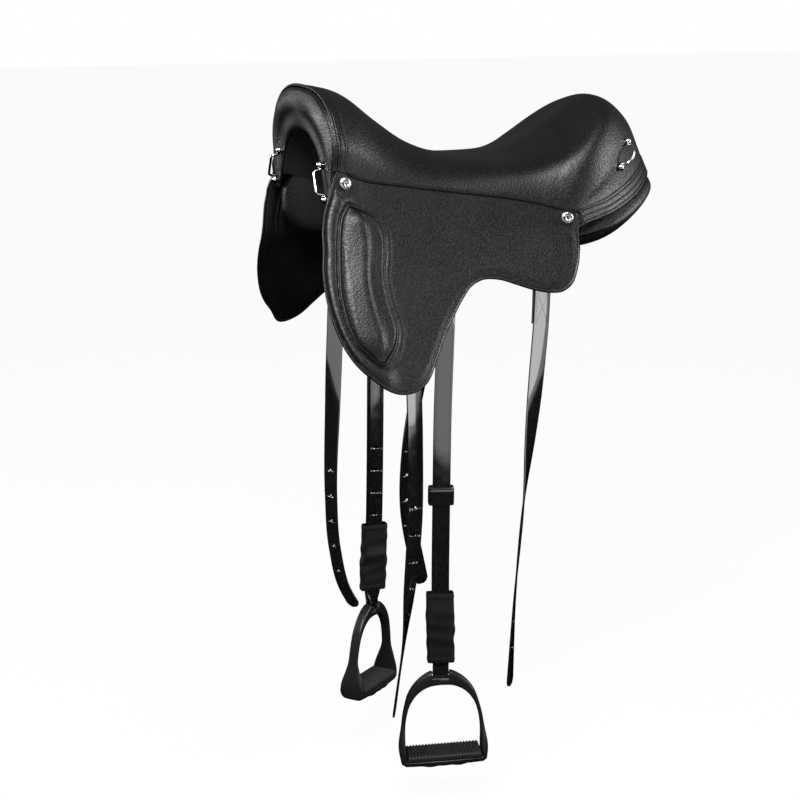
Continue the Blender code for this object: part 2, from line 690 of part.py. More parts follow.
PANEL_LINES = {
    "outer_top": [(113, -174, 48), (104, -140, 36), (96, -90, 22), (94, -30, 14), (95, 30, 12), (101, 90, 8),
                  (112, 140, 2), (134, 188, 0), (126, 246, 18), (98, 298, 40), (56, 340, 60), (36, 348, 64)],
    "outer_middle": [(117, -175, 28), (109, -141, 6), (102, -90, -8), (100, -30, -14), (101, 30, -14),
                     (107, 90, -14), (118, 140, -16), (135, 190, -13), (133, 243, -2), (108, 297, 18),
                     (64, 343, 42), (38, 354, 48)],
    "outer_bottom": [(113, -176, 8), (106, -142, -26), (99, -90, -38), (97, -30, -42), (97, 30, -43),
                     (101, 90, -40), (109, 140, -34), (122, 194, -28), (115, 240, -18), (90, 292, 6),
                     (56, 330, 28), (37, 340, 35)],
    "bottom": [(106, -176, -2), (94, -142, -24), (80, -90, -27), (76, -30, -28), (76, 30, -29), (78, 90, -27),
               (82, 140, -23), (86, 192, -17), (82, 233, -8), (66, 277, 12), (48, 314, 30), (35, 326, 36)],
    "inner_bottom": [(99, -175, 12), (80, -142, -6), (54, -90, -4), (40, -30, 2), (38, 30, 3), (38, 90, 4),
                     (39, 140, 6), (40, 190, 10), (39, 235, 18), (37, 275, 29), (35, 305, 39), (31, 318, 43)],
    "inner_top": [(96, -174, 50), (78, -142, 84), (46, -90, 104), (36, -30, 88), (35, 30, 74), (35, 90, 70),
                  (36, 140, 74), (37, 190, 92), (37, 235, 92), (36, 275, 74), (34, 305, 62), (31, 326, 60)],
    "top": [(106, -173, 54), (98, -142, 84), (78, -90, 92), (72, -30, 80), (74, 30, 66), (80, 90, 58),
            (88, 140, 56), (94, 190, 62), (88, 236, 66), (68, 282, 62), (48, 320, 62), (34, 334, 61)],
}


def make_panels(cutters):
    """The two padded panels under the tree, each cut to fit what lies against it."""
    panels = {}
    for label, side in SIDES.items():
        lines = np.array([along(line, 18) for line in PANEL_LINES.values()])
        rings = []
        for k in range(lines.shape[1]):
            corner = lines[:, k]
            closed = np.concatenate([corner[-2:], corner, corner[:3]])
            knots = np.arange(len(closed)) - 2
            rings.append(through(knots, closed, np.linspace(0, len(corner), 14, endpoint=False)))
        rings = np.array(rings)
        centre = rings.mean(axis=1, keepdims=True)
        for end, inset, share in ((0, 1, 0.55), (-1, -2, 0.55)):
            rings[end] = centre[end] + (rings[end] - centre[end]) * share
        panels[label] = solid(f"panel_{label}", *tube(mirror_side(rings, side)), "leather")
        for cutter in cutters:
            cut(panels[label], cutter)
        pocket = mirror_side(np.array(BAR_POCKET), side)
        cut(panels[label], box(f"bar_pocket_{label}", pocket.min(axis=0), pocket.max(axis=0), "leather"))
    return panels


SEAM_CURVE = seat_points(np.linspace(0, BACK_SEAM, 200), np.array([1.0]))[:, 0]


def seam_at(y):
    """The seam's x and z at this y."""
    return np.interp(y, SEAM_CURVE[:, 1], SEAM_CURVE[:, 0]), np.interp(y, SEAM_CURVE[:, 1], SEAM_CURVE[:, 2])


def flap_points(flat, out=0.0, curl=0.0):
    """Points of the flap's outer face for (y, z) places, moved out along its normal.

    The curl turns the front border in towards the horse by that much, as one flap in the photo hangs.
    """
    def curled(y, z):
        return smooth_step(-y, *CURL_FORWARD) * smooth_step(-z, *CURL_DROPS)

    def face_x(y, z):
        x, top = seam_at(y)
        return x + flare(np.minimum(top, FLAP_TOP_MAX_Z) - z) - curl * curled(y, z)
    y = flat[..., 0]
    z = flat[..., 1]
    step = 2.0
    slope_y = (face_x(y + step, z) - face_x(y - step, z)) / (2 * step)
    slope_z = (face_x(y, z + step) - face_x(y, z - step)) / (2 * step)
    normal = np.stack([np.ones_like(slope_y), -slope_y, -slope_z], axis=-1)
    normal = normal / np.linalg.norm(normal, axis=-1, keepdims=True)
    points = np.stack([face_x(y, z), y + curl * CURL_DRAW * curled(y, z), z], axis=-1)
    return points + normal * (np.broadcast_to(out, y.shape)[..., None] + FLAP_PROUD), normal


def ruled(upper, lower, shares):
    """Grid of (y, z) places between two curves with the same number of points."""
    shares = np.asarray(shares, float)[:, None, None]
    return upper[None] * (1 - shares) + lower[None] * shares


def make_flaps():
    """Each flap in two solids that meet at its fold: the screwed top and the part that lifts."""
    flaps = {}
    columns = 32
    fold = np.linspace(FOLD_FRONT, FOLD_REAR, columns)
    seam_y = np.linspace(-177.0, 179.0, columns)
    seam_z = seam_at(seam_y)[1] - GAP - 0.7
    top = ruled(np.stack([seam_y, seam_z], axis=1), fold, np.linspace(0, 1, 3))
    under_fold = fold - np.array([0, FOLD_GAP])
    lower = ruled(under_fold, along(FLAP_OUTLINE, columns), [0, 0.08, 0.18, 0.3, 0.44, 0.6, 0.8, 1])
    for label, side in SIDES.items():
        for name, flat in ((f"flap_top_{label}", top), (f"flap_{label}", lower)):
            outer = flap_points(flat, 0, FLAP_CURL[label])[0]
            inner = flap_points(flat, -FLAP_THICK, FLAP_CURL[label])[0]
            flaps[name] = solid(name, *slab(mirror_side(outer, side), mirror_side(inner, side)), "leather")
    return flaps


def block_height(across):
    """Rise of the knee block over its width: drawn in at its borders, with one long channel."""
    crown = (1 - np.abs(2 * across - 1) ** 4) ** 0.5
    channel = 0.38 * np.exp(-((across - BLOCK_CHANNEL) / 0.09) ** 2)
    return BLOCK_RISE * crown * (1 - channel)


def make_knee_blocks():
    """The padded block on each flap, lying on the flap's outer face."""
    rows = 15
    front = along(BLOCK_FRONT, rows)
    rear = along(BLOCK_REAR, rows)
    across = np.array([0, 0.04, 0.12, 0.24, 0.36, 0.46, 0.56, 0.66, 0.76, 0.88, 0.96, 1.0])
    flat = front[:, None] * (1 - across)[:, None] + rear[:, None] * across[:, None]
    length = np.linspace(0, 1, rows)
    ends = np.clip(1 - np.abs(2 * length - 1) ** 6, 0, 1) ** 0.5
    rise = BLOCK_GAP + 1.6 + np.outer(ends, block_height(across))
    for label, side in SIDES.items():
        outer = flap_points(flat, rise, FLAP_CURL[label])[0]
        inner = flap_points(flat, BLOCK_GAP + 0.045 * FLAP_CURL[label], FLAP_CURL[label])[0]
        solid(f"knee_block_{label}", *slab(mirror_side(outer, side), mirror_side(inner, side)), "leather")


def make_studs(flaps, tree, cover):
    """Cup washers and socket screws that hold the flaps to the tree."""
    for label, side in SIDES.items():
        for place, (y, z) in STUD_PLACES.items():
            point, normal = flap_points(np.array([[y, z]]))
            base = mirror_side(point[0], side)
            axis = mirror_side(normal[0], side)
            name = f"{place}_{label}"
            start = base + axis * (GAP + 0.5)
            washer_profile = [
                (WASHER_RADIUS, 0), (WASHER_RADIUS - 0.4, 1.6), (WASHER_RADIUS - 2.6, WASHER_HEIGHT),
                (SCREW_HEAD_RADIUS + 0.9, WASHER_HEIGHT), (SCREW_HEAD_RADIUS + 0.6, WASHER_FLOOR)]
            washer = turned(f"stud_washer_{name}", start, axis, washer_profile, "chrome", 14)
            bore = rod(f"washer_bore_{name}", start - axis * 2, start + axis * 2, SCREW_RADIUS + SCREW_CLEAR)
            cut(washer, bore)
            head = start + axis * (WASHER_FLOOR + GAP)
            shoulder = SCREW_HEAD_HEIGHT - SCREW_CHAMFER
            profile = [
                (SCREW_RADIUS, -SCREW_LENGTH), (SCREW_RADIUS, 0), (SCREW_HEAD_RADIUS, 0.01),
                (SCREW_HEAD_RADIUS, shoulder), (SCREW_HEAD_RADIUS - SCREW_CHAMFER, SCREW_HEAD_HEIGHT),
                (SOCKET_RADIUS, SCREW_HEAD_HEIGHT), (SOCKET_RADIUS, SCREW_HEAD_HEIGHT - SOCKET_DEPTH)]
            turned(f"stud_screw_{name}", head, axis, profile, "chrome", 14)
            hole = rod(f"stud_hole_{name}", head - axis * (SCREW_LENGTH + 1.5), start + axis * 1,
                       SCREW_RADIUS + SCREW_CLEAR)
            cut(flaps[f"flap_top_{label}"], hole)
            cut(tree, hole)


def footman_loop(name, top, low, top_out, low_out, pierced):
    """Bent wire between two screwed eyes; the screws go into the pierced solids."""
    top = np.asarray(top, float)
    low = np.asarray(low, float)
    run = (low - top) / np.linalg.norm(low - top)
    seat_top = top + top_out * LOOP_SEAT
    seat_low = low + low_out * LOOP_SEAT
    lift = LOOP_WIRE
    corner_top = seat_top + top_out * LOOP_STAND + run * 9
    corner_low = seat_low + low_out * LOOP_STAND - run * 9
    path = np.array([
        seat_top + top_out * lift + run * 3.5, seat_top + top_out * lift + run * 6,
        corner_top - top_out * 2.5 - run * 0.8, corner_top + run * 1.5, corner_low - run * 1.5,
        corner_low - low_out * 2.5 + run * 0.8, seat_low + low_out * lift - run * 6,
        seat_low + low_out * lift - run * 3.5])
    aside = np.cross(run, top_out)
    aside = aside / np.linalg.norm(aside)
    tangent = np.gradient(path, axis=0)
    tangent = tangent / np.linalg.norm(tangent, axis=1, keepdims=True)
    other = np.cross(tangent, aside)
    angles = np.linspace(0, 2 * math.pi, 7, endpoint=False)
    rings = path[:, None] + LOOP_WIRE * (np.cos(angles)[:, None] * aside
                                                + np.sin(angles)[:, None] * other[:, None])
    loop = solid(name, *tube(rings), "chrome")
    for label, seat, out in (("top", seat_top, top_out), ("low", seat_low, low_out)):
        eye = rod(f"{name}_eye_{label}", seat, seat + out * EYE_THICK, EYE_RADIUS, "chrome")
        fuse(loop, eye)
    for label, seat, out in (("top", seat_top, top_out), ("low", seat_low, low_out)):
        bore = rod(f"{name}_bore_{label}", seat - out * 2, seat + out * (EYE_THICK + 2), EYE_BORE)
        cut(loop, bore)
        head = seat + out * (EYE_THICK + GAP)
        profile = [(LOOP_SCREW_RADIUS, -LOOP_SCREW_LENGTH), (LOOP_SCREW_RADIUS, 0), (LOOP_SCREW_HEAD, 0.01),
                   (LOOP_SCREW_HEAD - 0.3, 1.4), (LOOP_SCREW_HEAD - 1.6, 2.3)]
        turned(f"{name}_screw_{label}", head, out, profile, "chrome", 10)
        hole = rod(f"{name}_hole_{label}", head - out * (LOOP_SCREW_LENGTH + 0.6), seat + out * 0.5,
                   LOOP_SCREW_RADIUS + 0.45, sides=10)
        for part in pierced:
            cut(part, hole)


def make_loops(face, cover, foam, tree):
    """Four footman loops: two on the pommel face and two behind the cantle."""
    for label, side in SIDES.items():
        ends = []
        for place in ("top", "low"):
            x, z = FRONT_LOOP[place]
            ends.append(np.array([x * side, FACE_BACK_Y - FACE_EDGE - FACE_CROWN * LEG_CROWN_SHARE, z]))
        out = np.array([0.0, -1.0, 0.0])
        footman_loop(f"front_loop_{label}", ends[0], ends[1], out, out, [face])
        ends = []
        outs = []
        for place in ("top", "low"):
            share, across = REAR_LOOP[place]
            station = np.array([STATIONS[10] * (1 - share) + STATIONS[11] * share])
            point = seat_points(station, np.array([across]))[0, 0]
            normal = exact_normal(station[0], across)
            ends.append(mirror_side(point, side))
            outs.append(mirror_side(normal, side))
        footman_loop(f"rear_loop_{label}", ends[0], ends[1], outs[0], outs[1], [cover, foam, tree])


def sided_box(name, side, low, high):
    """A steel block between two corners, given for the left side."""
    corners = mirror_side(np.array([low, high]), side)
    return box(name, corners.min(axis=0), corners.max(axis=0), "steel")


def make_stirrup_bars():
    """Steel stirrup bars screwed inside the tree's skirt, each with a hinged safety catch."""
    for label, side in SIDES.items():
        inner = BAR_X - BAR_REACH
        low_z = BAR_Z - BAR_HALF_HEIGHT
        top_z = BAR_Z + BAR_HALF_HEIGHT
        bar = sided_box(f"stirrup_bar_{label}", side, (inner - BRACKET_THICK, BAR_FRONT - 2, low_z),
                        (inner, BAR_REAR + 18, BAR_PLATE_TOP))
        tang_low = (BAR_X - TANG_HALF, BAR_REAR - 1, low_z + 0.4)
        tang_high = (BAR_X + TANG_HALF, BAR_REAR + 11, top_z - 0.4)
        pieces = {
            "arm": [(inner - 1, BAR_FRONT - 2, low_z), (BAR_X + BAR_RADIUS + 0.4, BAR_FRONT + 5, top_z)],
            "tang": [tang_low, tang_high]}
        for piece, (low, high) in pieces.items():
            fuse(bar, sided_box(f"bar_{piece}_{label}", side, low, high))
        ends = [mirror_side((BAR_X, y, BAR_Z), side) for y in (BAR_FRONT + 0.5, BAR_REAR)]
        fuse(bar, rod(f"bar_rail_{label}", ends[0], ends[1], BAR_RADIUS, "steel", 16))
        pin_y = BAR_REAR + PIN_BEHIND
        ends = [mirror_side((BAR_X + k, pin_y, BAR_Z), side) for k in (-CHEEK_OUT - 0.2, CHEEK_OUT + 0.2)]
        fuse(bar, rod(f"catch_pin_{label}", ends[0], ends[1], PIN_RADIUS, "steel", 16))
        catch = sided_box(f"bar_catch_{label}", side, (BAR_X - CHEEK_OUT, pin_y + 8, BAR_Z - 4),
                          (BAR_X + CHEEK_OUT, pin_y + 16, BAR_Z + 4))
        gap = TANG_HALF + CHEEK_GAP
        for k, (low_x, high_x) in enumerate(((-CHEEK_OUT, -gap), (gap, CHEEK_OUT))):
            fuse(catch, sided_box(f"catch_cheek_{k}_{label}", side, (BAR_X + low_x, pin_y - 4, BAR_Z - 4),
                                  (BAR_X + high_x, pin_y + 16, BAR_Z + 4)))
        ends = [mirror_side((BAR_X + k, pin_y, BAR_Z), side) for k in (-8, 8)]
        cut(catch, rod(f"catch_bore_{label}", ends[0], ends[1], PIN_RADIUS + PIN_CLEAR, "steel", 16))


def side_label(side):
    """The name of a side from its sign."""
    return "left" if side > 0 else "right"


def hang_turn(side, z):
    """How far the leather is turned about its own length at this height."""
    full, start, end = HANG_TURN[side_label(side)]
    return math.radians(full) * smooth_step(-np.asarray(z, float), start, end)


def hang_y(side, z):
    """How far back the leather's centre line lies at this height."""
    drop = np.clip(-np.asarray(z, float), HANG_DROPS[0], HANG_DROPS[-1])
    places = through(HANG_DROPS, HANG_Y[side_label(side)], drop.ravel(), calm=True)
    return places.reshape(drop.shape)


def hang_shift(side, y):
    """How far the leather's centre line moves sideways where it moves back, along its own width."""
    label = side_label(side)
    return HANG_SLOPE[label] * (HANG_Y[label][0] - y)


def stirrup_frame(side, z):
    """Directions across and out of the leather at this height, with its twist."""
    turn = hang_turn(side, z)
    across = np.stack([-np.sin(turn), np.cos(turn), np.zeros_like(turn)], axis=-1)
    out = np.stack([np.cos(turn), np.sin(turn), np.zeros_like(turn)], axis=-1) * side
    return across, out


def hang(side, offsets, z, sideways=0.0):
    """Points of the stirrup leather: offset out from its centre line at these heights."""
    z = np.asarray(z, float)
    across, out = stirrup_frame(side, z)
    y = hang_y(side, z)
    centre = np.stack([BAR_X * side + hang_shift(side, y), y, z], axis=-1)
    offsets = np.broadcast_to(offsets, z.shape)[..., None]
    sideways = np.broadcast_to(sideways, z.shape)[..., None]
    return centre + out * offsets + across * sideways, out, across


def bend(radius, centre_z, start_deg, end_deg, count):
    """Offsets and heights on an arc about a bar, angles measured from straight out."""
    angles = np.radians(np.linspace(start_deg, end_deg, count))
    return radius * np.cos(angles), centre_z + radius * np.sin(angles)


def looped_strap(name, side, offsets, z, width, finish_name):
    """A strap along offsets and heights; its broad side is square to its run."""
    points, out, across = hang(side, np.asarray(offsets), np.asarray(z))
    run = np.gradient(points, axis=0)
    face = np.cross(across, run)
    return strap(name, points, face, width, STRAP_THICK, finish_name)


def make_stirrups():
    """Leathers, hole straps, buckles, keepers, sleeves, irons and treads."""
    for label, side in SIDES.items():
        ply = PLY_OFFSET
        over, over_z = bend(BAR_RADIUS + GAP + STRAP_THICK / 2, BAR_Z, 0, 180, 11)
        down = np.linspace(-20, LEATHER_END_Z, 24)
        back = np.array([-14, -34, -52])
        offsets = np.concatenate([-ply * np.ones(3), over[::-1], ply * np.ones(len(down))])
        heights = np.concatenate([back[::-1], over_z[::-1], down])
        looped_strap(f"stirrup_leather_{label}", side, offsets, heights, LEATHER_WIDTH, "patent")

        eye_z = EYE_Z[label]
        under, under_z = bend(ply, eye_z, 180, 360, 9)
        low = eye_z + SLEEVE_ABOVE_EYE[label]
        turning = np.linspace(low - 3, eye_z + 4, 4)
        long_ply = np.concatenate([np.linspace(-58, low - 0.5, 21), turning])
        short_ply = np.concatenate([turning[::-1], np.linspace(low - 0.5, LEATHER_END_Z - 4, 3)])
        offsets = np.concatenate([np.full(len(long_ply), -ply), under, np.full(len(short_ply), ply)])
        heights = np.concatenate([long_ply, under_z, short_ply])
        tail = looped_strap(f"hole_strap_{label}", side, offsets, heights, TAIL_WIDTH, "patent")
        for k, z in enumerate(TAIL_HOLES_Z):
            points, out, _ = hang(side, np.array([-ply - 4, -ply + 4]), np.array([z, z], float))
            cut(tail, rod(f"tail_hole_{k}_{label}", points[0], points[1], HOLE_RADIUS, sides=8))

        make_buckle(label, side)
        rounded_sleeve(f"leather_keeper_{label}", side, KEEPER_Z[label] + KEEPER_HEIGHT / 2,
                       KEEPER_Z[label] - KEEPER_HEIGHT / 2, KEEPER_HALF_SIZES, KEEPER_WALL, 2, "patent")
        rounded_sleeve(f"leather_sleeve_{label}", side, low + SLEEVE_LENGTH, low, SLEEVE_HALF_SIZES,
                       SLEEVE_WALL, 7, "leather")
        make_iron(label, side)


def rounded_outline(half_width, half_depth, radius):
    """Twelve points round an oblong with rounded corners."""
    points = []
    for sign_a, sign_b, start in ((1, 1, 0), (-1, 1, 90), (-1, -1, 180), (1, -1, 270)):
        for turn in (0, 45, 90):
            angle = math.radians(start + turn)
            points.append((sign_a * (half_width - radius) + radius * math.cos(angle),
                           sign_b * (half_depth - radius) + radius * math.sin(angle)))
    return np.array(points)


def rounded_sleeve(name, side, top, bottom, half_sizes, wall, rows, finish_name):
    """A leather tube of rounded oblong section round the plies of the leather."""
    half_width, half_depth = half_sizes
    heights = np.linspace(top, bottom, rows)
    grids = []
    for inset in (0, wall):
        outline = rounded_outline(half_width - inset, half_depth - inset, SLEEVE_CORNER - inset * 0.6)
        crumple = 0.5 * np.sin(heights * 0.19)[:, None] * np.sign(outline[:, 1]) * (rows > 2)
        z = np.broadcast_to(heights[:, None], (rows, len(outline)))
        across = np.broadcast_to(outline[:, 0], z.shape)
        points, _, _ = hang(side, outline[:, 1] + crumple, z, across)
        grids.append(points)
    return solid(name, *hollow_tube(grids[0], grids[1]), finish_name)


def make_buckle(label, side):
    """The flat buckle frame between the two plies, hidden by the sleeve."""
    z = LEATHER_END_Z + BUCKLE_ABOVE_END
    turn = float(hang_turn(side, z))
    y = float(hang_y(side, z))
    about = (BAR_X * side + hang_shift(side, y), y, z)
    half = BUCKLE_THICK / 2
    wide, high = BUCKLE_HALF_SIZES
    frame = box(f"stirrup_buckle_{label}", (about[0] - half, y - wide, z - high),
                (about[0] + half, y + wide, z + high), "chrome", turn, about)
    wide, high = BUCKLE_WINDOW_HALF_SIZES
    window = box(f"buckle_window_{label}", (about[0] - BUCKLE_THICK, y - wide, z - high),
                 (about[0] + BUCKLE_THICK, y + wide, z + high), "chrome", turn, about)
    cut(frame, window)


def make_iron(label, side):
    """The stirrup iron round its foot opening, with the eye bar on top, and its ribbed tread."""
    half = IRON_INNER_WIDTH / 2
    wide = half + IRON_BRANCH
    eye_z = EYE_Z[label]
    top_z = eye_z + EYE_TOP
    floor_z = top_z - IRON_HEIGHT
    low = -IRON_HEIGHT
    inner = [(0, -22), (18, -24), (half - 23, -32.5), (half - 10, -49), (half - 3, -71), (half, -98),
             (half, low + IRON_BASE_THICK)]
    outer = [(0, 0), (14, -1), (wide - 36, -9), (wide - 17.5, -30), (wide - 7.5, -60), (wide - 2.5, -91),
             (wide + 1.5, low + 19), (wide - 0.5, low + 4)]
    rows = 15
    inside = along(inner, rows)
    outside = along(outer, rows)
    inside = np.concatenate([inside, [(half * 0.5, low + IRON_BASE_THICK), (0, low + IRON_BASE_THICK)]])
    outside = np.concatenate([outside, [(half * 0.5, low), (0, low)]])
    share = np.concatenate([np.linspace(0, 1, rows), [1, 1]])
    spread = smooth_step(share, 0.62, 0.97)
    depth = IRON_TOP_DEPTH + (IRON_BASE_DEPTH / 2 - IRON_TOP_DEPTH) * spread
    end_share = 1 - (1 - IRON_END_SHARE) * spread
    end_share[rows:] = 0.9
    mirror = slice(len(inside) - 2, 0, -1)
    inside = np.concatenate([inside, inside[mirror] * np.array([-1, 1])])
    outside = np.concatenate([outside, outside[mirror] * np.array([-1, 1])])
    depth = np.concatenate([depth, depth[mirror]])
    end_depth = depth * np.concatenate([end_share, end_share[mirror]])
    corners = []
    edges = ((outside, end_depth, 1), (outside, end_depth, -1), (inside, depth, -1), (inside, depth, 1))
    for edge, reach, sign in edges:
        corners.append(np.stack([reach * sign, edge[:, 0], edge[:, 1] + top_z], axis=1))
    rings = np.stack(corners, axis=1)
    count = len(rings)
    faces = []
    for quad in grid_faces(count + 1, 4, closed=True):
        faces.append(tuple(i % (count * 4) for i in quad))
    place = iron_place(side, eye_z, IRON_TILT_DEG[label])
    iron = solid(f"stirrup_iron_{label}", place(rings.reshape(-1, 3)), faces, "black_metal")
    level = iron_place(side, eye_z, 0)
    width = TAIL_WIDTH / 2 + EYE_SIDE_CLEAR
    gap_z = (eye_z - EYE_GAP_BELOW, eye_z + 9)
    cut(iron, placed_box(f"eye_gap_{label}", level, (-14, 14), (-width, width), gap_z))
    ends = level(np.array([(0, -width - 3, eye_z), (0, width + 3, eye_z)]))
    fuse(iron, rod(f"eye_bar_{label}", ends[0], ends[1], EYE_BAR_RADIUS, "black_metal", 16))
    make_tread(label, place, floor_z)


def placed_box(name, place, x, y, z):
    """A cutting block between pairs of limits, put where the iron is."""
    corners = place(np.array([(a, b, c) for a in x for b in y for c in z]))
    faces = [(0, 1, 3, 2), (4, 6, 7, 5), (0, 4, 5, 1), (2, 3, 7, 6), (0, 2, 6, 4), (1, 5, 7, 3)]
    return solid(name, corners, faces, "steel")


def iron_place(side, eye_z, tilt_deg):
    """A function that puts iron points, drawn about its own centre plane, on the saddle."""
    turn = float(hang_turn(side, eye_z))
    cosine = math.cos(turn)
    sine = math.sin(turn)
    frame = np.array([[cosine, sine, 0], [-sine, cosine, 0], [0, 0, 1]])
    tilt = math.radians(tilt_deg)
    lean = np.array([[1, 0, 0], [0, math.cos(tilt), math.sin(tilt)], [0, -math.sin(tilt), math.cos(tilt)]])
    eye = np.array([0, 0, eye_z])
    y = float(hang_y(side, eye_z))

    def place(points):
        leaning = (np.asarray(points, float) - eye) @ lean + eye
        return leaning @ frame + np.array([BAR_X * side + hang_shift(side, y), y, 0])
    return place


def make_tread(label, place, floor_z):
    """The rubber tread pad, with ribs across its length."""
    half = IRON_INNER_WIDTH / 2 - TREAD_END_GAP
    base = floor_z + IRON_BASE_THICK + GAP
    pitch = 2 * half / TREAD_RIBS
    outline = [(-half, base)]
    for k in range(TREAD_RIBS):
        start = -half + k * pitch
        root = base + TREAD_THICK - TREAD_RIB_HEIGHT
        crest = base + TREAD_THICK
        outline += [(start + 0.2 * pitch, root), (start + 0.32 * pitch, crest),
                    (start + 0.85 * pitch, crest), (start + 0.97 * pitch, root)]
    outline.append((half, base))
    outline = np.array(outline)
    depth = IRON_BASE_DEPTH / 2 - 1.5
    rings = np.stack([np.column_stack([np.full(len(outline), x), outline]) for x in (-depth, depth)])
    solid(f"stirrup_tread_{label}", *tube(place(rings)), "rubber")


BILLET_LEAN = {"front_left": 7.5, "rear_left": 0.0, "front_right": 12.0, "rear_right": 0.0}
BILLETS = {
    "front_left": {"x": 112.5, "side": 1.0, "top_z": 26.0,
                   "hang": [(8, -62, 0), (-150, -58, 5), (-300, -52, 8), (-430, -52, 8), (-520, -58, 25),
                            (-600, -64, 58), (-722, -79, 62)], "holes": (79, 7)},
    "rear_left": {"x": 129.8, "side": 1.0, "top_z": -6.0,
                  "hang": [(-20, 134, 0), (-140, 134, 3), (-260, 126, 25), (-400, 115, 62), (-550, 104, 60),
                           (-690, 99, 45)], "holes": (62, 5)},
    "front_right": {"x": 112.5, "side": -1.0, "top_z": 26.0,
                    "hang": [(8, -85, 0), (-170, -91, -10), (-290, -95, -40), (-440, -98, -62),
                             (-530, -92, -62), (-590, -79, -60), (-625, -61, -55)], "holes": (62, 5)},
    "rear_right": {"x": 127.6, "side": -1.0, "top_z": -6.0,
                   "hang": [(-20, 122, 0), (-120, 98, 8), (-250, 60, 12), (-380, 37, 10), (-470, 35, 0),
                            (-610, 61, -8)], "holes": (62, 5)},
}


def billet_lean(z):
    """Share of a billet's lean towards the horse at this height, balanced above by the other way."""
    return smooth_step(-z, *LEAN_DROPS) - LEAN_BALANCE * smooth_step(-z, *LEAN_BALANCE_DROPS)


def make_billets(tree):
    """Girth billets folded over eyes on the tree, hanging as straps do."""
    for label, spec in BILLETS.items():
        side = spec["side"]
        top_z = spec["top_z"]
        hang_line = np.array(spec["hang"], float)
        line = along(hang_line, BILLET_POINTS)
        y0 = hang_line[0, 1]
        radius = HANGER_RADIUS + 0.35 + STRAP_THICK / 2
        angles = np.radians(np.linspace(180, 0, 7))
        fold_z = np.linspace(BILLET_FOLD_Z, top_z - 12, 5)
        fold_y = np.interp(-fold_z, -line[:, 0], line[:, 1])
        over = radius * np.cos(angles)
        offsets = np.concatenate([
            np.full(5, -radius + 0.3), over, [radius, radius * 0.8], np.zeros(BILLET_POINTS)])
        blend = smooth_step(-line[:, 0], -line[0, 0], -BILLET_FOLD_Z + 70)
        offsets[14:] = (radius - 0.6) * (1 - blend) - 0.35 * blend
        over_z = top_z + radius * np.sin(angles)
        heights = np.concatenate([fold_z, over_z, [top_z - 6, top_z - 14], line[:, 0]])
        along_y = np.concatenate([fold_y, np.full(9, y0), line[:, 1]])
        twist = np.radians(np.concatenate([np.zeros(14), line[:, 2] * blend]))
        lean = BILLET_LEAN[label] * billet_lean(heights)
        points = np.stack([side * (spec["x"] + offsets - lean), along_y, heights], axis=1)
        across = np.stack([-np.sin(twist), np.cos(twist), np.zeros_like(twist)], axis=1)
        run = np.gradient(points, axis=0)
        face = np.cross(across, run)
        width = np.full(len(points), BILLET_WIDTH)
        width[-3:] = BILLET_WIDTH * np.array([0.96, 0.78, 0.34])
        billet = strap(f"girth_billet_{label}", points, face, width, STRAP_THICK, "patent")
        above_tip, hole_count = spec["holes"]
        for k in range(hole_count):
            z = line[-1, 0] + above_tip + k * BILLET_HOLE_STEP
            y = np.interp(-z, -line[:, 0], line[:, 1])
            turn = math.radians(np.interp(-z, -line[:, 0], line[:, 2]))
            lean = BILLET_LEAN[label] * float(billet_lean(np.array(z, float)))
            centre = np.array([side * (spec["x"] - 0.35 - lean), y, z])
            reach = np.array([math.cos(turn), math.sin(turn), 0]) * 6
            cut(billet, rod(f"billet_hole_{k}_{label}", centre - reach, centre + reach, HOLE_RADIUS, sides=8))
        add_hanger(tree, label, side, spec["x"], y0, top_z)


def add_hanger(tree, label, side, x, y, z):
    """An eye moulded on the hem of the tree's skirt, which carries a billet."""
    half = HANGER_SPAN / 2
    ends = [mirror_side((x, y + k * half, z), side) for k in (-1, 1)]
    fuse(tree, rod(f"billet_hanger_{label}", ends[0], ends[1], HANGER_RADIUS, "moulding", 12))
    for k, tag in ((-1, "front"), (1, "rear")):
        foot = mirror_side((x, y + k * (half - 2.4), z), side)
        top = foot + np.array([0, 0, HANGER_LEG])
        fuse(tree, rod(f"hanger_leg_{tag}_{label}", foot, top, 2.3, "moulding", 12))


def main():
    """Build every piece of the saddle."""
    for old in list(bpy.data.objects):
        bpy.data.objects.remove(old)
    cover, foam, tree, stack = make_seat()
    make_bindings()
    face, clear = make_pommel()
    make_panels([stack, clear])
    flaps = make_flaps()
    make_knee_blocks()
    make_studs(flaps, tree, cover)
    make_loops(face, cover, foam, tree)
    make_stirrup_bars()
    make_stirrups()
    make_billets(tree)
    put_joint_origins()
    stack.hide_render = True
    stack.display_type = "WIRE"


main()
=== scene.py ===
"""Endurance saddle as it looks: leather, straps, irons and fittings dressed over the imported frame.

Shapes are worked out in millimetres, as surfaces of two parameters or as profiles carried along a
path, and are put into Blender in metres. +X is the saddle's left side, -Y its front, +Z up.
"""

import json
import logging
import math
from dataclasses import dataclass
from enum import Enum
from typing import Any, Callable, Optional, Sequence

import bpy
import numpy as np
from mathutils import Matrix, Vector

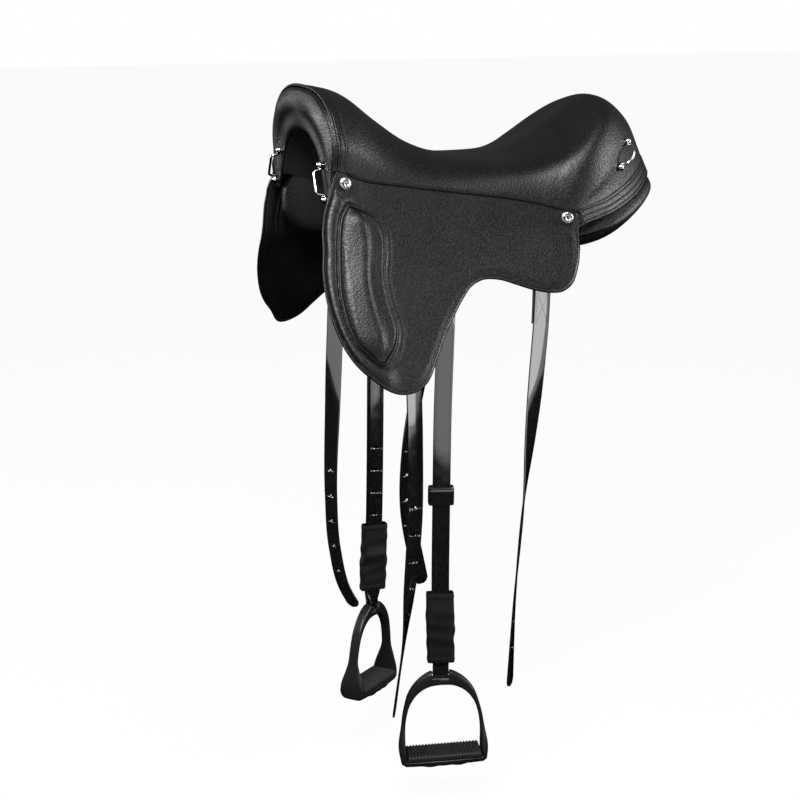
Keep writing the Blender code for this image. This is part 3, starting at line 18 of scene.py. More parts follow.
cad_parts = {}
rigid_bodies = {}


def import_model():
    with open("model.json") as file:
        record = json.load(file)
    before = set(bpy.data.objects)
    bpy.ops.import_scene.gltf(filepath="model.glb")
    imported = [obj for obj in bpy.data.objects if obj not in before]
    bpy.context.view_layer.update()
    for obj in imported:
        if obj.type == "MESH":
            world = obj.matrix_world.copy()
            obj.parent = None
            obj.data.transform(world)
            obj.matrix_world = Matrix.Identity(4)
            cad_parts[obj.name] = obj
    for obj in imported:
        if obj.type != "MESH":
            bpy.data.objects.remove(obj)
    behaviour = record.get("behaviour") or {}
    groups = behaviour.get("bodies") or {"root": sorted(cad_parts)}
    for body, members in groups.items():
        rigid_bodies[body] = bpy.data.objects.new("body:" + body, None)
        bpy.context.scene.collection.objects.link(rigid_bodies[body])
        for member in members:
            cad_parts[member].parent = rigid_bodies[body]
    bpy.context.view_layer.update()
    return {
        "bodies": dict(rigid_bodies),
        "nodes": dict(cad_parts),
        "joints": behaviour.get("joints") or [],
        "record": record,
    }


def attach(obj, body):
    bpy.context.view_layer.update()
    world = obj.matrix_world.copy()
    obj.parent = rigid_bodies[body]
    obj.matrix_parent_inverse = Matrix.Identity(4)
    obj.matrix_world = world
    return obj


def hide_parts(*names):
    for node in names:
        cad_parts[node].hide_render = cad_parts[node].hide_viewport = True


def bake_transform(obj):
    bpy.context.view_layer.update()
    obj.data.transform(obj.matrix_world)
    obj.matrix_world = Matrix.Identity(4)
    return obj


LOG = logging.getLogger("saddle")
MM = 0.001
GAP = 0.3
FULL_TURN = 2 * math.pi
Array = np.ndarray


class Side(Enum):
    """The two sides of the saddle; the value is the sign of x."""

    LEFT = 1
    RIGHT = -1

    @property
    def label(self) -> str:
        """The side's name in the frame."""
        return self.name.lower()

    def mirror(self, points: Array) -> Array:
        """Points drawn for the left side, put on this side."""
        return np.asarray(points, float) * np.array([self.value, 1, 1])

    def body(self, part: str) -> str:
        """The name of this side's moving body."""
        return f"{self.label}_{part}"


def smooth_step(value: Array, low: float, high: float) -> Array:
    """0 below low, 1 above high, with a smooth rise between."""
    f = np.clip((np.asarray(value, float) - low) / (high - low), 0, 1)
    return f * f * (3 - 2 * f)


def bump(value: Array, centre: float, half: float) -> Array:
    """A smooth hump, 1 at the centre and 0 from half away."""
    f = np.clip(np.abs(np.asarray(value, float) - centre) / half, 0, 1)
    return (1 - f * f) ** 2


def unit(vectors: Array) -> Array:
    """The vectors at length 1, along the last axis."""
    return vectors / np.maximum(np.linalg.norm(vectors, axis=-1, keepdims=True), 1e-12)


def calm_slopes(knots: Array, values: Array) -> Array:
    """Slopes at the knots, held down so that the curve never swings past its own points.

    Args:
        knots: rising places.
        values: one row for each knot.

    Returns:
        One slope for each knot.
    """
    slopes = np.gradient(values, knots, axis=0)
    steps = np.diff(values, axis=0) / np.diff(knots).reshape((-1,) + (1,) * (values.ndim - 1))
    before = np.concatenate([steps[:1], steps])
    after = np.concatenate([steps, steps[-1:]])
    limit = 2.5 * np.minimum(np.abs(before), np.abs(after))
    return np.where(before * after <= 0, 0, np.clip(slopes, -limit, limit))


def through(knots: Any, values: Any, where: Any, calm: bool = False) -> Array:
    """Cubic through the values at the knots, each slope taken from the neighbouring knots.

    Args:
        knots: rising places of the values.
        values: what the curve goes through, one row for each knot.
        where: the places asked for.
        calm: whether the slopes are held down so that nothing overshoots.

    Returns:
        One row for each place asked for.
    """
    knots = np.asarray(knots, float)
    values = np.asarray(values, float)
    where = np.asarray(where, float)
    slopes = calm_slopes(knots, values) if calm else np.gradient(values, knots, axis=0)
    place = np.clip(np.searchsorted(knots, where, side="right") - 1, 0, len(knots) - 2)
    shape = (-1,) + (1,) * (values.ndim - 1)
    width = (knots[place + 1] - knots[place]).reshape(shape)
    f = (where - knots[place]).reshape(shape) / width
    start = (1 + 2 * f) * (1 - f) ** 2 * values[place] + f * (1 - f) ** 2 * slopes[place] * width
    end = f ** 2 * (3 - 2 * f) * values[place + 1] + f ** 2 * (f - 1) * slopes[place + 1] * width
    return start + end


def run_of(line: Array) -> Array:
    """Length along a line of points up to each point: the sum of |p(k+1) - p(k)|."""
    return np.concatenate([[0], np.cumsum(np.linalg.norm(np.diff(line, axis=0), axis=1))])


def sampled(where: Array, run: Array, rows: Array) -> Array:
    """Rows of numbers at other places of a run, straight between the given ones."""
    return np.stack([np.interp(where, run, rows[:, k]) for k in range(rows.shape[1])], axis=1)


def along(points: Any, count: int, dense: int = 900) -> Array:
    """Evenly spaced points on the smooth curve through the given points.

    Args:
        points: what the curve goes through.
        count: of points asked for.
        dense: points of the fine line that is measured.

    Returns:
        The even points.
    """
    points = np.asarray(points, float)
    knots = run_of(points)
    return evenly(through(knots, points, np.linspace(0, knots[-1], dense)), count)


def evenly(dense: Array, count: int) -> Array:
    """The same line with evenly spaced points."""
    run = run_of(dense)
    return sampled(np.linspace(0, run[-1], count), run, dense)


def line_length(line: Array) -> float:
    """Length of a line of points."""
    return float(np.linalg.norm(np.diff(line, axis=0), axis=1).sum())


def clustered(count: int, power: float = 1.0) -> Array:
    """Places from 0 to 1 that crowd towards both ends.

    Args:
        count: of places.
        power: 0 for even places, 1 for half a cosine wave.

    Returns:
        The rising places.
    """
    even = np.linspace(0, 1, count)
    eased = (1 - np.cos(math.pi * even)) / 2
    return even * (1 - power) + eased * power


def distance_to(points: Array, line: Array) -> Array:
    """Distance in the plane from each point to the nearest point of a line.

    Args:
        points: grid of (a, b) places.
        line: rows of (a, b).

    Returns:
        One distance for each place.
    """
    flat = points.reshape(-1, 2)
    found = np.full(len(flat), np.inf)
    for part in np.array_split(line, max(1, len(line) // 60)):
        gap = ((flat[:, None] - part[None]) ** 2).sum(axis=2).min(axis=1)
        found = np.minimum(found, gap)
    return np.sqrt(found).reshape(points.shape[:-1])


def quad_grid(rows: int, columns: int, first: int = 0, closed: bool = False) -> Array:
    """Quads of a grid numbered row by row; closed joins the last column to the first.

    Args:
        rows: of the grid.
        columns: of the grid.
        first: the first point's number.
        closed: whether the last column joins the first.

    Returns:
        Rows of four point numbers.
    """
    last = columns if closed else columns - 1
    i, j = np.meshgrid(np.arange(rows - 1), np.arange(last), indexing="ij")
    a = first + i * columns + j
    b = first + i * columns + (j + 1) % columns
    return np.stack([a, b, b + columns, a + columns], axis=-1).reshape(-1, 4)


class Surface:
    """A closed mesh in the making: points in millimetres and its faces."""

    def __init__(self) -> None:
        """Starts with no points and no faces."""
        self.points: list[Array] = []
        self.faces: list[list[int]] = []
        self.count = 0

    def add(self, points: Array, faces: Any) -> int:
        """Takes a block of points and faces that count from the block's first point.

        Args:
            points: rows of three numbers.
            faces: an array of quads, or lists of point numbers.

        Returns:
            The number of the block's first point.
        """
        first = self.count
        points = np.asarray(points, float).reshape(-1, 3)
        self.points.append(points)
        self.count += len(points)
        numbered = faces.tolist() if isinstance(faces, np.ndarray) else faces
        self.faces += [[first + k for k in face] for face in numbered]
        return first

    def object(self, name: str, smooth_deg: float = 50.0) -> bpy.types.Object:
        """The finished mesh as an object at the origin, with its faces turned outwards.

        Args:
            name: the piece's name.
            smooth_deg: edges sharper than this stay sharp.

        Returns:
            The new object.
        """
        points = np.concatenate(self.points) * MM
        faces = self.faces
        fans = np.array([(f[0], f[k], f[k + 1]) for f in faces for k in range(1, len(f) - 1)])
        a, b, c = (points[fans[:, k]] for k in range(3))
        if float((a * np.cross(b, c)).sum()) < 0:
            faces = [face[::-1] for face in faces]
        mesh = bpy.data.meshes.new(name)
        mesh.from_pydata(points.tolist(), [], faces)
        mesh.update()
        mesh.shade_smooth()
        mesh.set_sharp_from_angle(angle=math.radians(smooth_deg))
        made = bpy.data.objects.new(name, mesh)
        bpy.context.scene.collection.objects.link(made)
        return made


def relaxed(grid: Array, rounds: int, share: Any = 1.0) -> Array:
    """The grid with its creases eased: each round moves a point by 0.6 x pull x (mean of four - point).

    The pull fades over the last ten points to each border, so that the edge stays where it was.

    Args:
        grid: rows and columns of points.
        rounds: how many times the points move.
        share: how much of the pull each point gets.

    Returns:
        The eased grid.
    """
    rows, columns = grid.shape[:2]
    border = 10
    i = np.minimum(np.arange(rows), np.arange(rows)[::-1])
    j = np.minimum(np.arange(columns), np.arange(columns)[::-1])
    pull = (np.outer(smooth_step(i, 0, border), smooth_step(j, 0, border)) * share)[..., None]
    eased = grid.copy()
    for _ in range(rounds):
        near = eased.copy()
        near[1:-1, 1:-1] = (eased[:-2, 1:-1] + eased[2:, 1:-1] + eased[1:-1, :-2] + eased[1:-1, 2:]) / 4
        eased = eased + (near - eased) * 0.6 * pull
    return eased


def rim_of(rows: int, columns: int) -> Array:
    """The numbers of a grid's border points, once round.

    Args:
        rows: of the grid.
        columns: of the grid.

    Returns:
        The numbers in order.
    """
    top = np.arange(columns)
    right = np.arange(1, rows) * columns + columns - 1
    bottom = (rows - 1) * columns + np.arange(columns - 2, -1, -1)
    left = np.arange(rows - 2, 0, -1) * columns
    return np.concatenate([top, right, bottom, left])


def sheet_surface(outer: Array, inner: Array, steps: int = 4, swell: float = 1.0) -> Surface:
    """A closed sheet between two grids, with its edge rounded.

    The edge is the half ellipse middle + half x cos(u) + out x reach x sin(u), u from 0 to pi, from
    the outer border to the inner one; out points away from each border point's inward neighbour.

    Args:
        outer: the grid of the face.
        inner: the grid of the back, with as many rows and columns.
        steps: how many strips of faces go round the edge.
        swell: how far the edge stands out, as a share of half the thickness.

    Returns:
        The closed surface.
    """
    rows, columns = outer.shape[:2]
    made = Surface()
    flat = outer.reshape(-1, 3)
    under = inner.reshape(-1, 3)
    count = rows * columns
    made.add(flat, quad_grid(rows, columns))
    made.add(under, quad_grid(rows, columns)[:, ::-1])
    rim = rim_of(rows, columns)
    i = rim // columns
    j = rim % columns
    inward = np.clip(i, 1, rows - 2) * columns + np.clip(j, 1, columns - 2)
    middle = (flat[rim] + under[rim]) / 2
    half = (flat[rim] - under[rim]) / 2
    out = unit(middle - (flat[inward] + under[inward]) / 2)
    out = unit(np.roll(out, 1, axis=0) + out + np.roll(out, -1, axis=0))
    reach = np.linalg.norm(half, axis=1, keepdims=True) * swell
    rings = [rim]
    for k in range(1, steps):
        angle = math.pi * k / steps
        ring = middle + half * math.cos(angle) + out * reach * math.sin(angle)
        first = made.count
        made.points.append(ring)
        made.count += len(ring)
        rings.append(first + np.arange(len(rim)))
    rings.append(rim + count)
    for a, b in zip(rings, rings[1:]):
        quads = np.stack([np.roll(a, -1), a, b, np.roll(b, -1)], axis=1)
        made.faces += quads.tolist()
    return made


def tube_surface(rings: Array, joined: bool = False) -> Surface:
    """A closed body through rings of points: capped at both ends, or joined end to end.

    Args:
        rings: rows of points, one row for each ring.
        joined: whether the last ring meets the first.

    Returns:
        The closed surface.
    """
    rows, columns = rings.shape[:2]
    made = Surface()
    if joined:
        made.add(rings, quad_grid(rows + 1, columns, closed=True) % (rows * columns))
        return made
    made.add(rings, quad_grid(rows, columns, closed=True))
    made.faces.append(list(range(columns - 1, -1, -1)))
    made.faces.append(list(range((rows - 1) * columns, rows * columns)))
    return made


def ring_angles(sides: int) -> Array:
    """Even angles once round, without the last."""
    return np.linspace(0, FULL_TURN, sides, endpoint=False)


def squared(turn: Array, power: float) -> Array:
    """A cosine or sine pressed towards 1 and -1: sign(t) x |t| to the power."""
    return np.sign(turn) * np.abs(turn) ** power


def path_frames(path: Array, up: Array, closed: bool = False) -> tuple[Array, Array, Array]:
    """Unit directions along, aside and above at each point of a path, square to each other.

    Args:
        path: points.
        up: a direction, or one for each point.
        closed: whether the path's end meets its start.

    Returns:
        The three directions.
    """
    ahead = np.roll(path, -1, axis=0) - np.roll(path, 1, axis=0) if closed else np.gradient(path, axis=0)
    run = unit(ahead)
    aside = unit(np.cross(run, np.broadcast_to(up, path.shape)))
    return run, aside, np.cross(aside, run)


def round_cord(path: Array, radius: Any, up: Array, sides: int = 12, closed: bool = False) -> Surface:
    """A round cord along a path: path(s) + radius x (cos(u) aside(s) + sin(u) above(s)).

    Args:
        path: points.
        radius: one number or one for each point.
        up: a direction that the path never takes.
        sides: points round the cord.
        closed: whether the path's end meets its start.

    Returns:
        The cord.
    """
    _, aside, above = path_frames(path, up, closed)
    angles = ring_angles(sides)
    radius = np.broadcast_to(np.asarray(radius, float), len(path))[:, None, None]
    circle = np.cos(angles)[None, :, None] * aside[:, None] + np.sin(angles)[None, :, None] * above[:, None]
    return tube_surface(path[:, None] + radius * circle, joined=closed)


def lathe(base: Array, axis: Array, profile: Sequence[tuple[float, float]], sides: int = 48) -> Surface:
    """A body turned about an axis: base + axis x height + radius x (cos(u) aside + sin(u) other).

    Args:
        base: where the profile's height is 0.
        axis: the way the heights go.
        profile: (radius, height) of each circle.
        sides: points round each circle.

    Returns:
        The capped body.
    """
    axis = unit(np.asarray(axis, float))
    guess = np.array([0.0, 0.0, 1.0]) if abs(axis[2]) < 0.9 else np.array([1.0, 0.0, 0.0])
    aside = unit(np.cross(axis, guess))
    other = np.cross(axis, aside)
    angles = ring_angles(sides)
    circle = np.cos(angles)[:, None] * aside + np.sin(angles)[:, None] * other
    rings = [base + axis * height + circle * max(radius, 0.02) for radius, height in profile]
    return tube_surface(np.array(rings))


def washer_body(start: Array, axis: Array, profile: Sequence[tuple[float, float]], sides: int) -> Surface:
    """A turned ring with a hole: the profile's last circle is joined to its first.

    Args:
        start: where the profile's height is 0.
        axis: the way the heights go.
        profile: (radius, height) of each circle.
        sides: points round each circle.

    Returns:
        The ring.
    """
    rings = lathe(start, axis, profile, sides)
    made = Surface()
    turned = quad_grid(len(profile) + 1, sides, closed=True) % (len(profile) * sides)
    made.add(np.concatenate(rings.points), turned)
    return made


class Socket:
    """A node's output with Python's operators, so that shader maths reads as an expression."""

    def __init__(self, graph: "Graph", socket: bpy.types.NodeSocket) -> None:
        """Keeps the graph and the output."""
        self.graph = graph
        self.socket = socket

    def _math(self, operation: str, first: Any, second: Any) -> "Socket":
        """One Math node on two values or links."""
        return self.graph.node("ShaderNodeMath", {"operation": operation}, {0: first, 1: second})

    def __add__(self, other: Any) -> "Socket":
        """self + other."""
        return self._math("ADD", self, other)

    def __radd__(self, other: Any) -> "Socket":
        """other + self."""
        return self._math("ADD", other, self)

    def __sub__(self, other: Any) -> "Socket":
        """self - other."""
        return self._math("SUBTRACT", self, other)

    def __rsub__(self, other: Any) -> "Socket":
        """other - self."""
        return self._math("SUBTRACT", other, self)

    def __mul__(self, other: Any) -> "Socket":
        """self * other."""
        return self._math("MULTIPLY", self, other)

    def __rmul__(self, other: Any) -> "Socket":
        """other * self."""
        return self._math("MULTIPLY", other, self)


class Graph:
    """The nodes of a material or a world, made through one method."""

    def __init__(self, owner: Any) -> None:
        """Takes the owner's tree, with its Principled shader if it has one, and Object coordinates.

        Args:
            owner: a material or a world.
        """
        self.owner = owner
        owner.use_nodes = True
        self.tree = owner.node_tree
        self.shader = self.tree.nodes.get("Principled BSDF")
        self.place = self.node("ShaderNodeTexCoord", {}, {}, "Object")

    @classmethod
    def material(cls, name: str) -> "Graph":
        """The graph of a new material."""
        return cls(bpy.data.materials.new(name))

    def node(self, kind: str, settings: dict[str, Any], inputs: dict[Any, Any],
             output: Any = 0) -> Socket:
        """Makes a node.

        Args:
            kind: the node's type.
            settings: attributes set before the sockets; a ramp's stops under "stops".
            inputs: values or links by socket name or number.
            output: which output comes back.

        Returns:
            That output, with operators.
        """
        made = self.tree.nodes.new(kind)
        for key, value in settings.items():
            if key == "stops":
                ramp = made.color_ramp
                while len(ramp.elements) < len(value):
                    ramp.elements.new(0.5)
                for stop, (where, colour) in zip(ramp.elements, value):
                    stop.position = where
                    stop.color = (*colour, 1.0)
            else:
                setattr(made, key, value)
        for key, value in inputs.items():
            self.feed(made.inputs[key], value)
        return Socket(self, made.outputs[output])

    def feed(self, target: bpy.types.NodeSocket, value: Any) -> None:
        """Links an output to a socket, or sets the socket's own value."""
        if isinstance(value, Socket):
            self.tree.links.new(value.socket, target)
        else:
            target.default_value = value

    def noise(self, scale: float, detail: float = 3.0, place: Optional[Socket] = None) -> Socket:
        """Noise from 0 to 1 on Object coordinates."""
        inputs = {"Vector": place or self.place, "Scale": scale, "Detail": detail}
        return self.node("ShaderNodeTexNoise", {"noise_dimensions": "3D"}, inputs, 0)

    def pebbles(self, scale: float, place: Optional[Socket] = None) -> Socket:
        """Distance to the nearest grain centre of a pebbled skin."""
        inputs = {"Vector": place or self.place, "Scale": scale}
        return self.node("ShaderNodeTexVoronoi", {"feature": "F1", "distance": "EUCLIDEAN"}, inputs, 0)

    def ramp(self, value: Socket, stops: Sequence[tuple[float, tuple[float, float, float]]]) -> Socket:
        """A colour ramp over a value."""
        return self.node("ShaderNodeValToRGB", {"stops": stops}, {0: value})

    def bump(self, height: Socket, strength: float, distance: float,
             normal: Optional[Socket] = None) -> Socket:
        """A normal from a height, over another normal if there is one.

        Args:
            height: the height.
            strength: share of the effect.
            distance: the height's scale in metres.
            normal: a normal to start from.

        Returns:
            The normal.
        """
        inputs: dict[Any, Any] = {"Height": height, "Strength": strength, "Distance": distance}
        if normal is not None:
            inputs["Normal"] = normal
        return self.node("ShaderNodeBump", {}, inputs)

    def set(self, **values: Any) -> None:
        """Values or links for the shader's sockets, an underscore standing for a space."""
        for key, value in values.items():
            self.feed(self.shader.inputs[key.replace("_", " ")], value)

    def ray(self, kind: str) -> Socket:
        """1 for rays of this kind and 0 for others."""
        return self.node("ShaderNodeLightPath", {}, {}, f"Is {kind} Ray")

    def glow(self, kind: str, strength: float) -> Socket:
        """A white emission or background of this strength."""
        return self.node(kind, {}, {"Color": (1.0, 1.0, 1.0, 1.0), "Strength": strength})

    def mix(self, factor: Socket, first: Socket, second: Socket) -> Socket:
        """One shader at factor 0 and the other at 1."""
        return self.node("ShaderNodeMixShader", {}, {0: factor, 1: first, 2: second})

    def surface(self, shader: Socket) -> None:
        """Ends the tree in this shader."""
        output = next(node for node in self.tree.nodes if node.type.startswith("OUTPUT"))
        self.feed(output.inputs["Surface"], shader)


def grey(value: float, cool: float = 0.04) -> tuple[float, float, float]:
    """A near-neutral colour with a slightly cool cast."""
    return (value, value * (1 + cool / 2), value * (1 + cool))


@dataclass(frozen=True)
class GrainedLeather:
    """Black leather with pebbled grain and a satin finish."""

    dark: float = 0.0012
    light: float = 0.0030
    roughness: float = 0.36
    grain: float = 330.0
    depth: float = 0.75
    specular: float = 0.5

    def build(self, name: str) -> bpy.types.Material:
        """Grain from cells broken up by noise, over slow waves of the hide; gloss and colour vary.

        Args:
            name: the material's name.

        Returns:
            The material.
        """
        g = Graph.material(name)
        warp = g.noise(90, 2)
        place = g.node("ShaderNodeVectorMath", {"operation": "MULTIPLY_ADD"},
                       {0: warp, 1: (0.004, 0.004, 0.004), 2: g.place})
        cells = g.pebbles(self.grain, place)
        fine = g.noise(2600, 2)
        slow = g.noise(14, 3)
        patch = g.noise(45, 4)
        height = cells * 0.8 + fine * 0.25
        skin = g.bump(patch, 0.10, 0.002)
        g.set(Base_Color=g.ramp(slow, [(0.30, grey(self.dark)), (0.75, grey(self.light))]),
              Roughness=cells * 0.30 + slow * 0.10 + (self.roughness - 0.13),
              Normal=g.bump(height, self.depth, 0.00045, skin),
              Specular_IOR_Level=self.specular)
        return g.owner


@dataclass(frozen=True)
class PatentLeather:
    """Coated strap leather with a glossy black face."""

    colour: float = 0.006
    roughness: float = 0.10
    waves: float = 0.16

    def build(self, name: str) -> bpy.types.Material:
        """A hard shiny coat, with slow waves in it and faint rubbed places.

        Args:
            name: the material's name.

        Returns:
            The material.
        """
        g = Graph.material(name)
        slow = g.noise(22, 2)
        rub = g.noise(160, 4)
        fine = g.noise(900, 2)
        skin = g.bump(slow, self.waves, 0.003)
        g.set(Base_Color=g.ramp(rub, [(0.35, grey(self.colour)), (0.8, grey(self.colour * 1.8))]),
              Roughness=rub * 0.10 + (self.roughness - 0.04),
              Normal=g.bump(fine, 0.05, 0.0002, skin),
              Coat_Weight=1.0, Coat_Roughness=0.03, Coat_IOR=2.0, Specular_IOR_Level=0.9)
        return g.owner


@dataclass(frozen=True)
class Metal:
    """Polished or coated metal."""

    colour: tuple[float, float, float] = (0.82, 0.83, 0.85)
    roughness: float = 0.09
    metallic: float = 1.0
    texture: float = 0.04
    specular: float = 0.5

    def build(self, name: str) -> bpy.types.Material:
        """A plain colour with handling marks in its gloss and a faint cast skin.

        Args:
            name: the material's name.

        Returns:
            The material.
        """
        g = Graph.material(name)
        marks = g.noise(210, 5)
        skin = g.noise(1500, 2)
        slow = g.noise(35, 2)
        shade = tuple(c * 0.86 for c in self.colour)
        g.set(Base_Color=g.ramp(slow, [(0.3, shade), (0.7, self.colour)]),
              Metallic=self.metallic,
              Roughness=marks * 0.12 + (self.roughness - 0.05),
              Normal=g.bump(skin, self.texture, 0.0003),
              Specular_IOR_Level=self.specular)
        return g.owner


@dataclass(frozen=True)
class MattStuff:
    """Rubber, thread, foam and moulded plastic: matt, with a small texture."""

    colour: float = 0.010
    roughness: float = 0.72
    scale: float = 1200.0
    depth: float = 0.30
    specular: float = 0.4

    def build(self, name: str) -> bpy.types.Material:
        """Noise in the colour, the gloss and the surface.

        Args:
            name: the material's name.

        Returns:
            The material.
        """
        g = Graph.material(name)
        grit = g.noise(self.scale, 3)
        slow = g.noise(30, 3)
        g.set(Base_Color=g.ramp(slow, [(0.3, grey(self.colour * 0.8)), (0.75, grey(self.colour * 1.3))]),
              Roughness=grit * 0.12 + (self.roughness - 0.06),
              Normal=g.bump(grit, self.depth, 0.0003),
              Specular_IOR_Level=self.specular)
        return g.owner


class Finish(Enum):
    """The saddle's finishes, with the record's slot that each belongs to."""

    LEATHER = ("leather", GrainedLeather())
    BAND = ("leather", GrainedLeather(roughness=0.34, grain=480, depth=0.45))
    FLESH = ("leather", GrainedLeather(dark=0.004, light=0.009, roughness=0.74, grain=1500, depth=0.40,
                                       specular=0.3))
    SLEEVE = ("leather", GrainedLeather(dark=0.002, light=0.005, roughness=0.42, grain=430, depth=0.6))
    PATENT = ("patent", PatentLeather())
    THREAD = ("leather", MattStuff(colour=0.002, roughness=0.80, scale=3000, depth=0.5, specular=0.15))
    CHROME = ("chrome", Metal())
    PLATED = ("chrome", Metal(colour=(0.90, 0.91, 0.92), roughness=0.27))
    STEEL = ("steel", Metal(colour=(0.34, 0.34, 0.35), roughness=0.38, texture=0.12))
    IRON = ("black_metal", Metal(colour=(0.010, 0.010, 0.011), roughness=0.36, metallic=0.0, texture=0.10))
    RUBBER = ("rubber", MattStuff(colour=0.008, roughness=0.62))
    FOAM = ("foam", MattStuff(colour=0.080, roughness=0.92, scale=2200, depth=0.8))
    MOULDING = ("moulding", MattStuff(colour=0.018, roughness=0.55, scale=700, depth=0.2))

    def dress(self, piece: bpy.types.Object) -> bpy.types.Object:
        """Gives the piece this finish, made once.

        Args:
            piece: the object.

        Returns:
            The same object.
        """
        slot, finish = self.value
        name = f"saddle_{self.name.lower()}"
        material = bpy.data.materials.get(name) or finish.build(name)
        piece.data.materials.clear()
        piece.data.materials.append(material)
        return piece


def place_piece(piece: bpy.types.Object, finish: Finish, body: str,
                nodes: Sequence[str] = ()) -> bpy.types.Object:
    """Dresses a piece, lets it ride on a body and stand for its nodes, and reports it.

    Args:
        piece: the object.
        finish: what it is made of.
        body: the body it moves with.
        nodes: the frame's nodes that it stands for; none for trim.

    Returns:
        The same object.
    """
    finish.dress(piece)
    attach(piece, body)
    if nodes:
        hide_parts(*nodes)
    LOG.info("%s: %d faces on %s, for %s", piece.name, len(piece.data.polygons), body,
             ", ".join(nodes) or "trim")
    return piece


def grid_area(grid: Array) -> float:
    """Area of a grid of points, in square millimetres."""
    a, b, c, d = grid[:-1, :-1], grid[1:, :-1], grid[1:, 1:], grid[:-1, 1:]
    return float(np.linalg.norm(np.cross(c - a, d - b), axis=-1).sum() / 2)


def declare_sheet(piece: bpy.types.Object, grid: Array) -> None:
    """States the flat cut of a leather piece from its longest row and column and its area.

    Args:
        piece: the sheet.
        grid: its face, as rows and columns of points.
    """
    wide = max(line_length(row) for row in grid)
    long = max(line_length(column) for column in grid.transpose(1, 0, 2))
    area = min(grid_area(grid), wide * long)
    LOG.info("%s: cut %.0f x %.0f mm, %.0f cm2", piece.name, wide, long, area / 100)


def stitches(name: str, line: Array, normals: Array, pitch: float = 4.0, length: float = 2.8,
             width: float = 0.62) -> bpy.types.Object:
    """A row of stitches: small ellipsoids, one every pitch, lying along a line on a surface.

    Each stitch is centre + cos(u) x length / 2 x along + sin(u) x width x (cos(v) aside
    + 0.8 sin(v) normal), turned to the line's direction there and pressed flat to the surface.

    Args:
        name: the row's name.
        line: points of the line.
        normals: the surface's normal at each point.
        pitch: from one stitch to the next.
        length: of a stitch.
        width: half of a stitch's breadth.

    Returns:
        One object with every stitch of the row.
    """
    total = line_length(line)
    count = max(3, int(total / pitch))
    run = run_of(line)
    step = 0.8
    where = (np.arange(count) + 0.5) * total / count
    centre = sampled(where, run, line)
    normal = unit(sampled(where, run, normals))
    along_line = unit(sampled(where + step, run, line) - sampled(where - step, run, line))
    aside = unit(np.cross(normal, along_line))
    u = np.linspace(0.25, math.pi - 0.25, 5)
    v = ring_angles(6)
    long = (np.cos(u) * length / 2)[None, :, None, None] * along_line[:, None, None, :]
    over = np.sin(u)[None, :, None, None] * width * (
        np.cos(v)[None, None, :, None] * aside[:, None, None, :]
        + 0.8 * np.sin(v)[None, None, :, None] * normal[:, None, None, :])
    points = centre[:, None, None, :] + long + over
    quads = quad_grid(5, 6, closed=True)
    first = np.arange(count) * len(u) * len(v)
    made = Surface()
    made.add(points.reshape(-1, 3), (first[:, None, None] + quads[None]).reshape(-1, 4))
    made.faces += (first[:, None] + np.arange(5, -1, -1)).tolist()
    made.faces += (first[:, None] + 24 + np.arange(6)).tolist()
    return made.object(name, 180)


def cut_holes(piece: bpy.types.Object, cutters: Sequence[bpy.types.Object]) -> bpy.types.Object:
    """The piece with the cutters taken out of it, and the cutters removed.

    Args:
        piece: the object to cut; its mesh is replaced.
        cutters: closed bodies.

    Returns:
        The same object.
    """
    for cutter in cutters:
        step = piece.modifiers.new("cut", "BOOLEAN")
        step.operation = "DIFFERENCE"
        step.solver = "EXACT"
        step.object = cutter
    bpy.context.view_layer.update()
    shape = piece.evaluated_get(bpy.context.evaluated_depsgraph_get())
    mesh = bpy.data.meshes.new_from_object(shape)
    piece.modifiers.clear()
    old = piece.data
    piece.data = mesh
    bpy.data.meshes.remove(old)
    mesh.name = piece.name
    for cutter in cutters:
        bpy.data.objects.remove(cutter)
    return piece


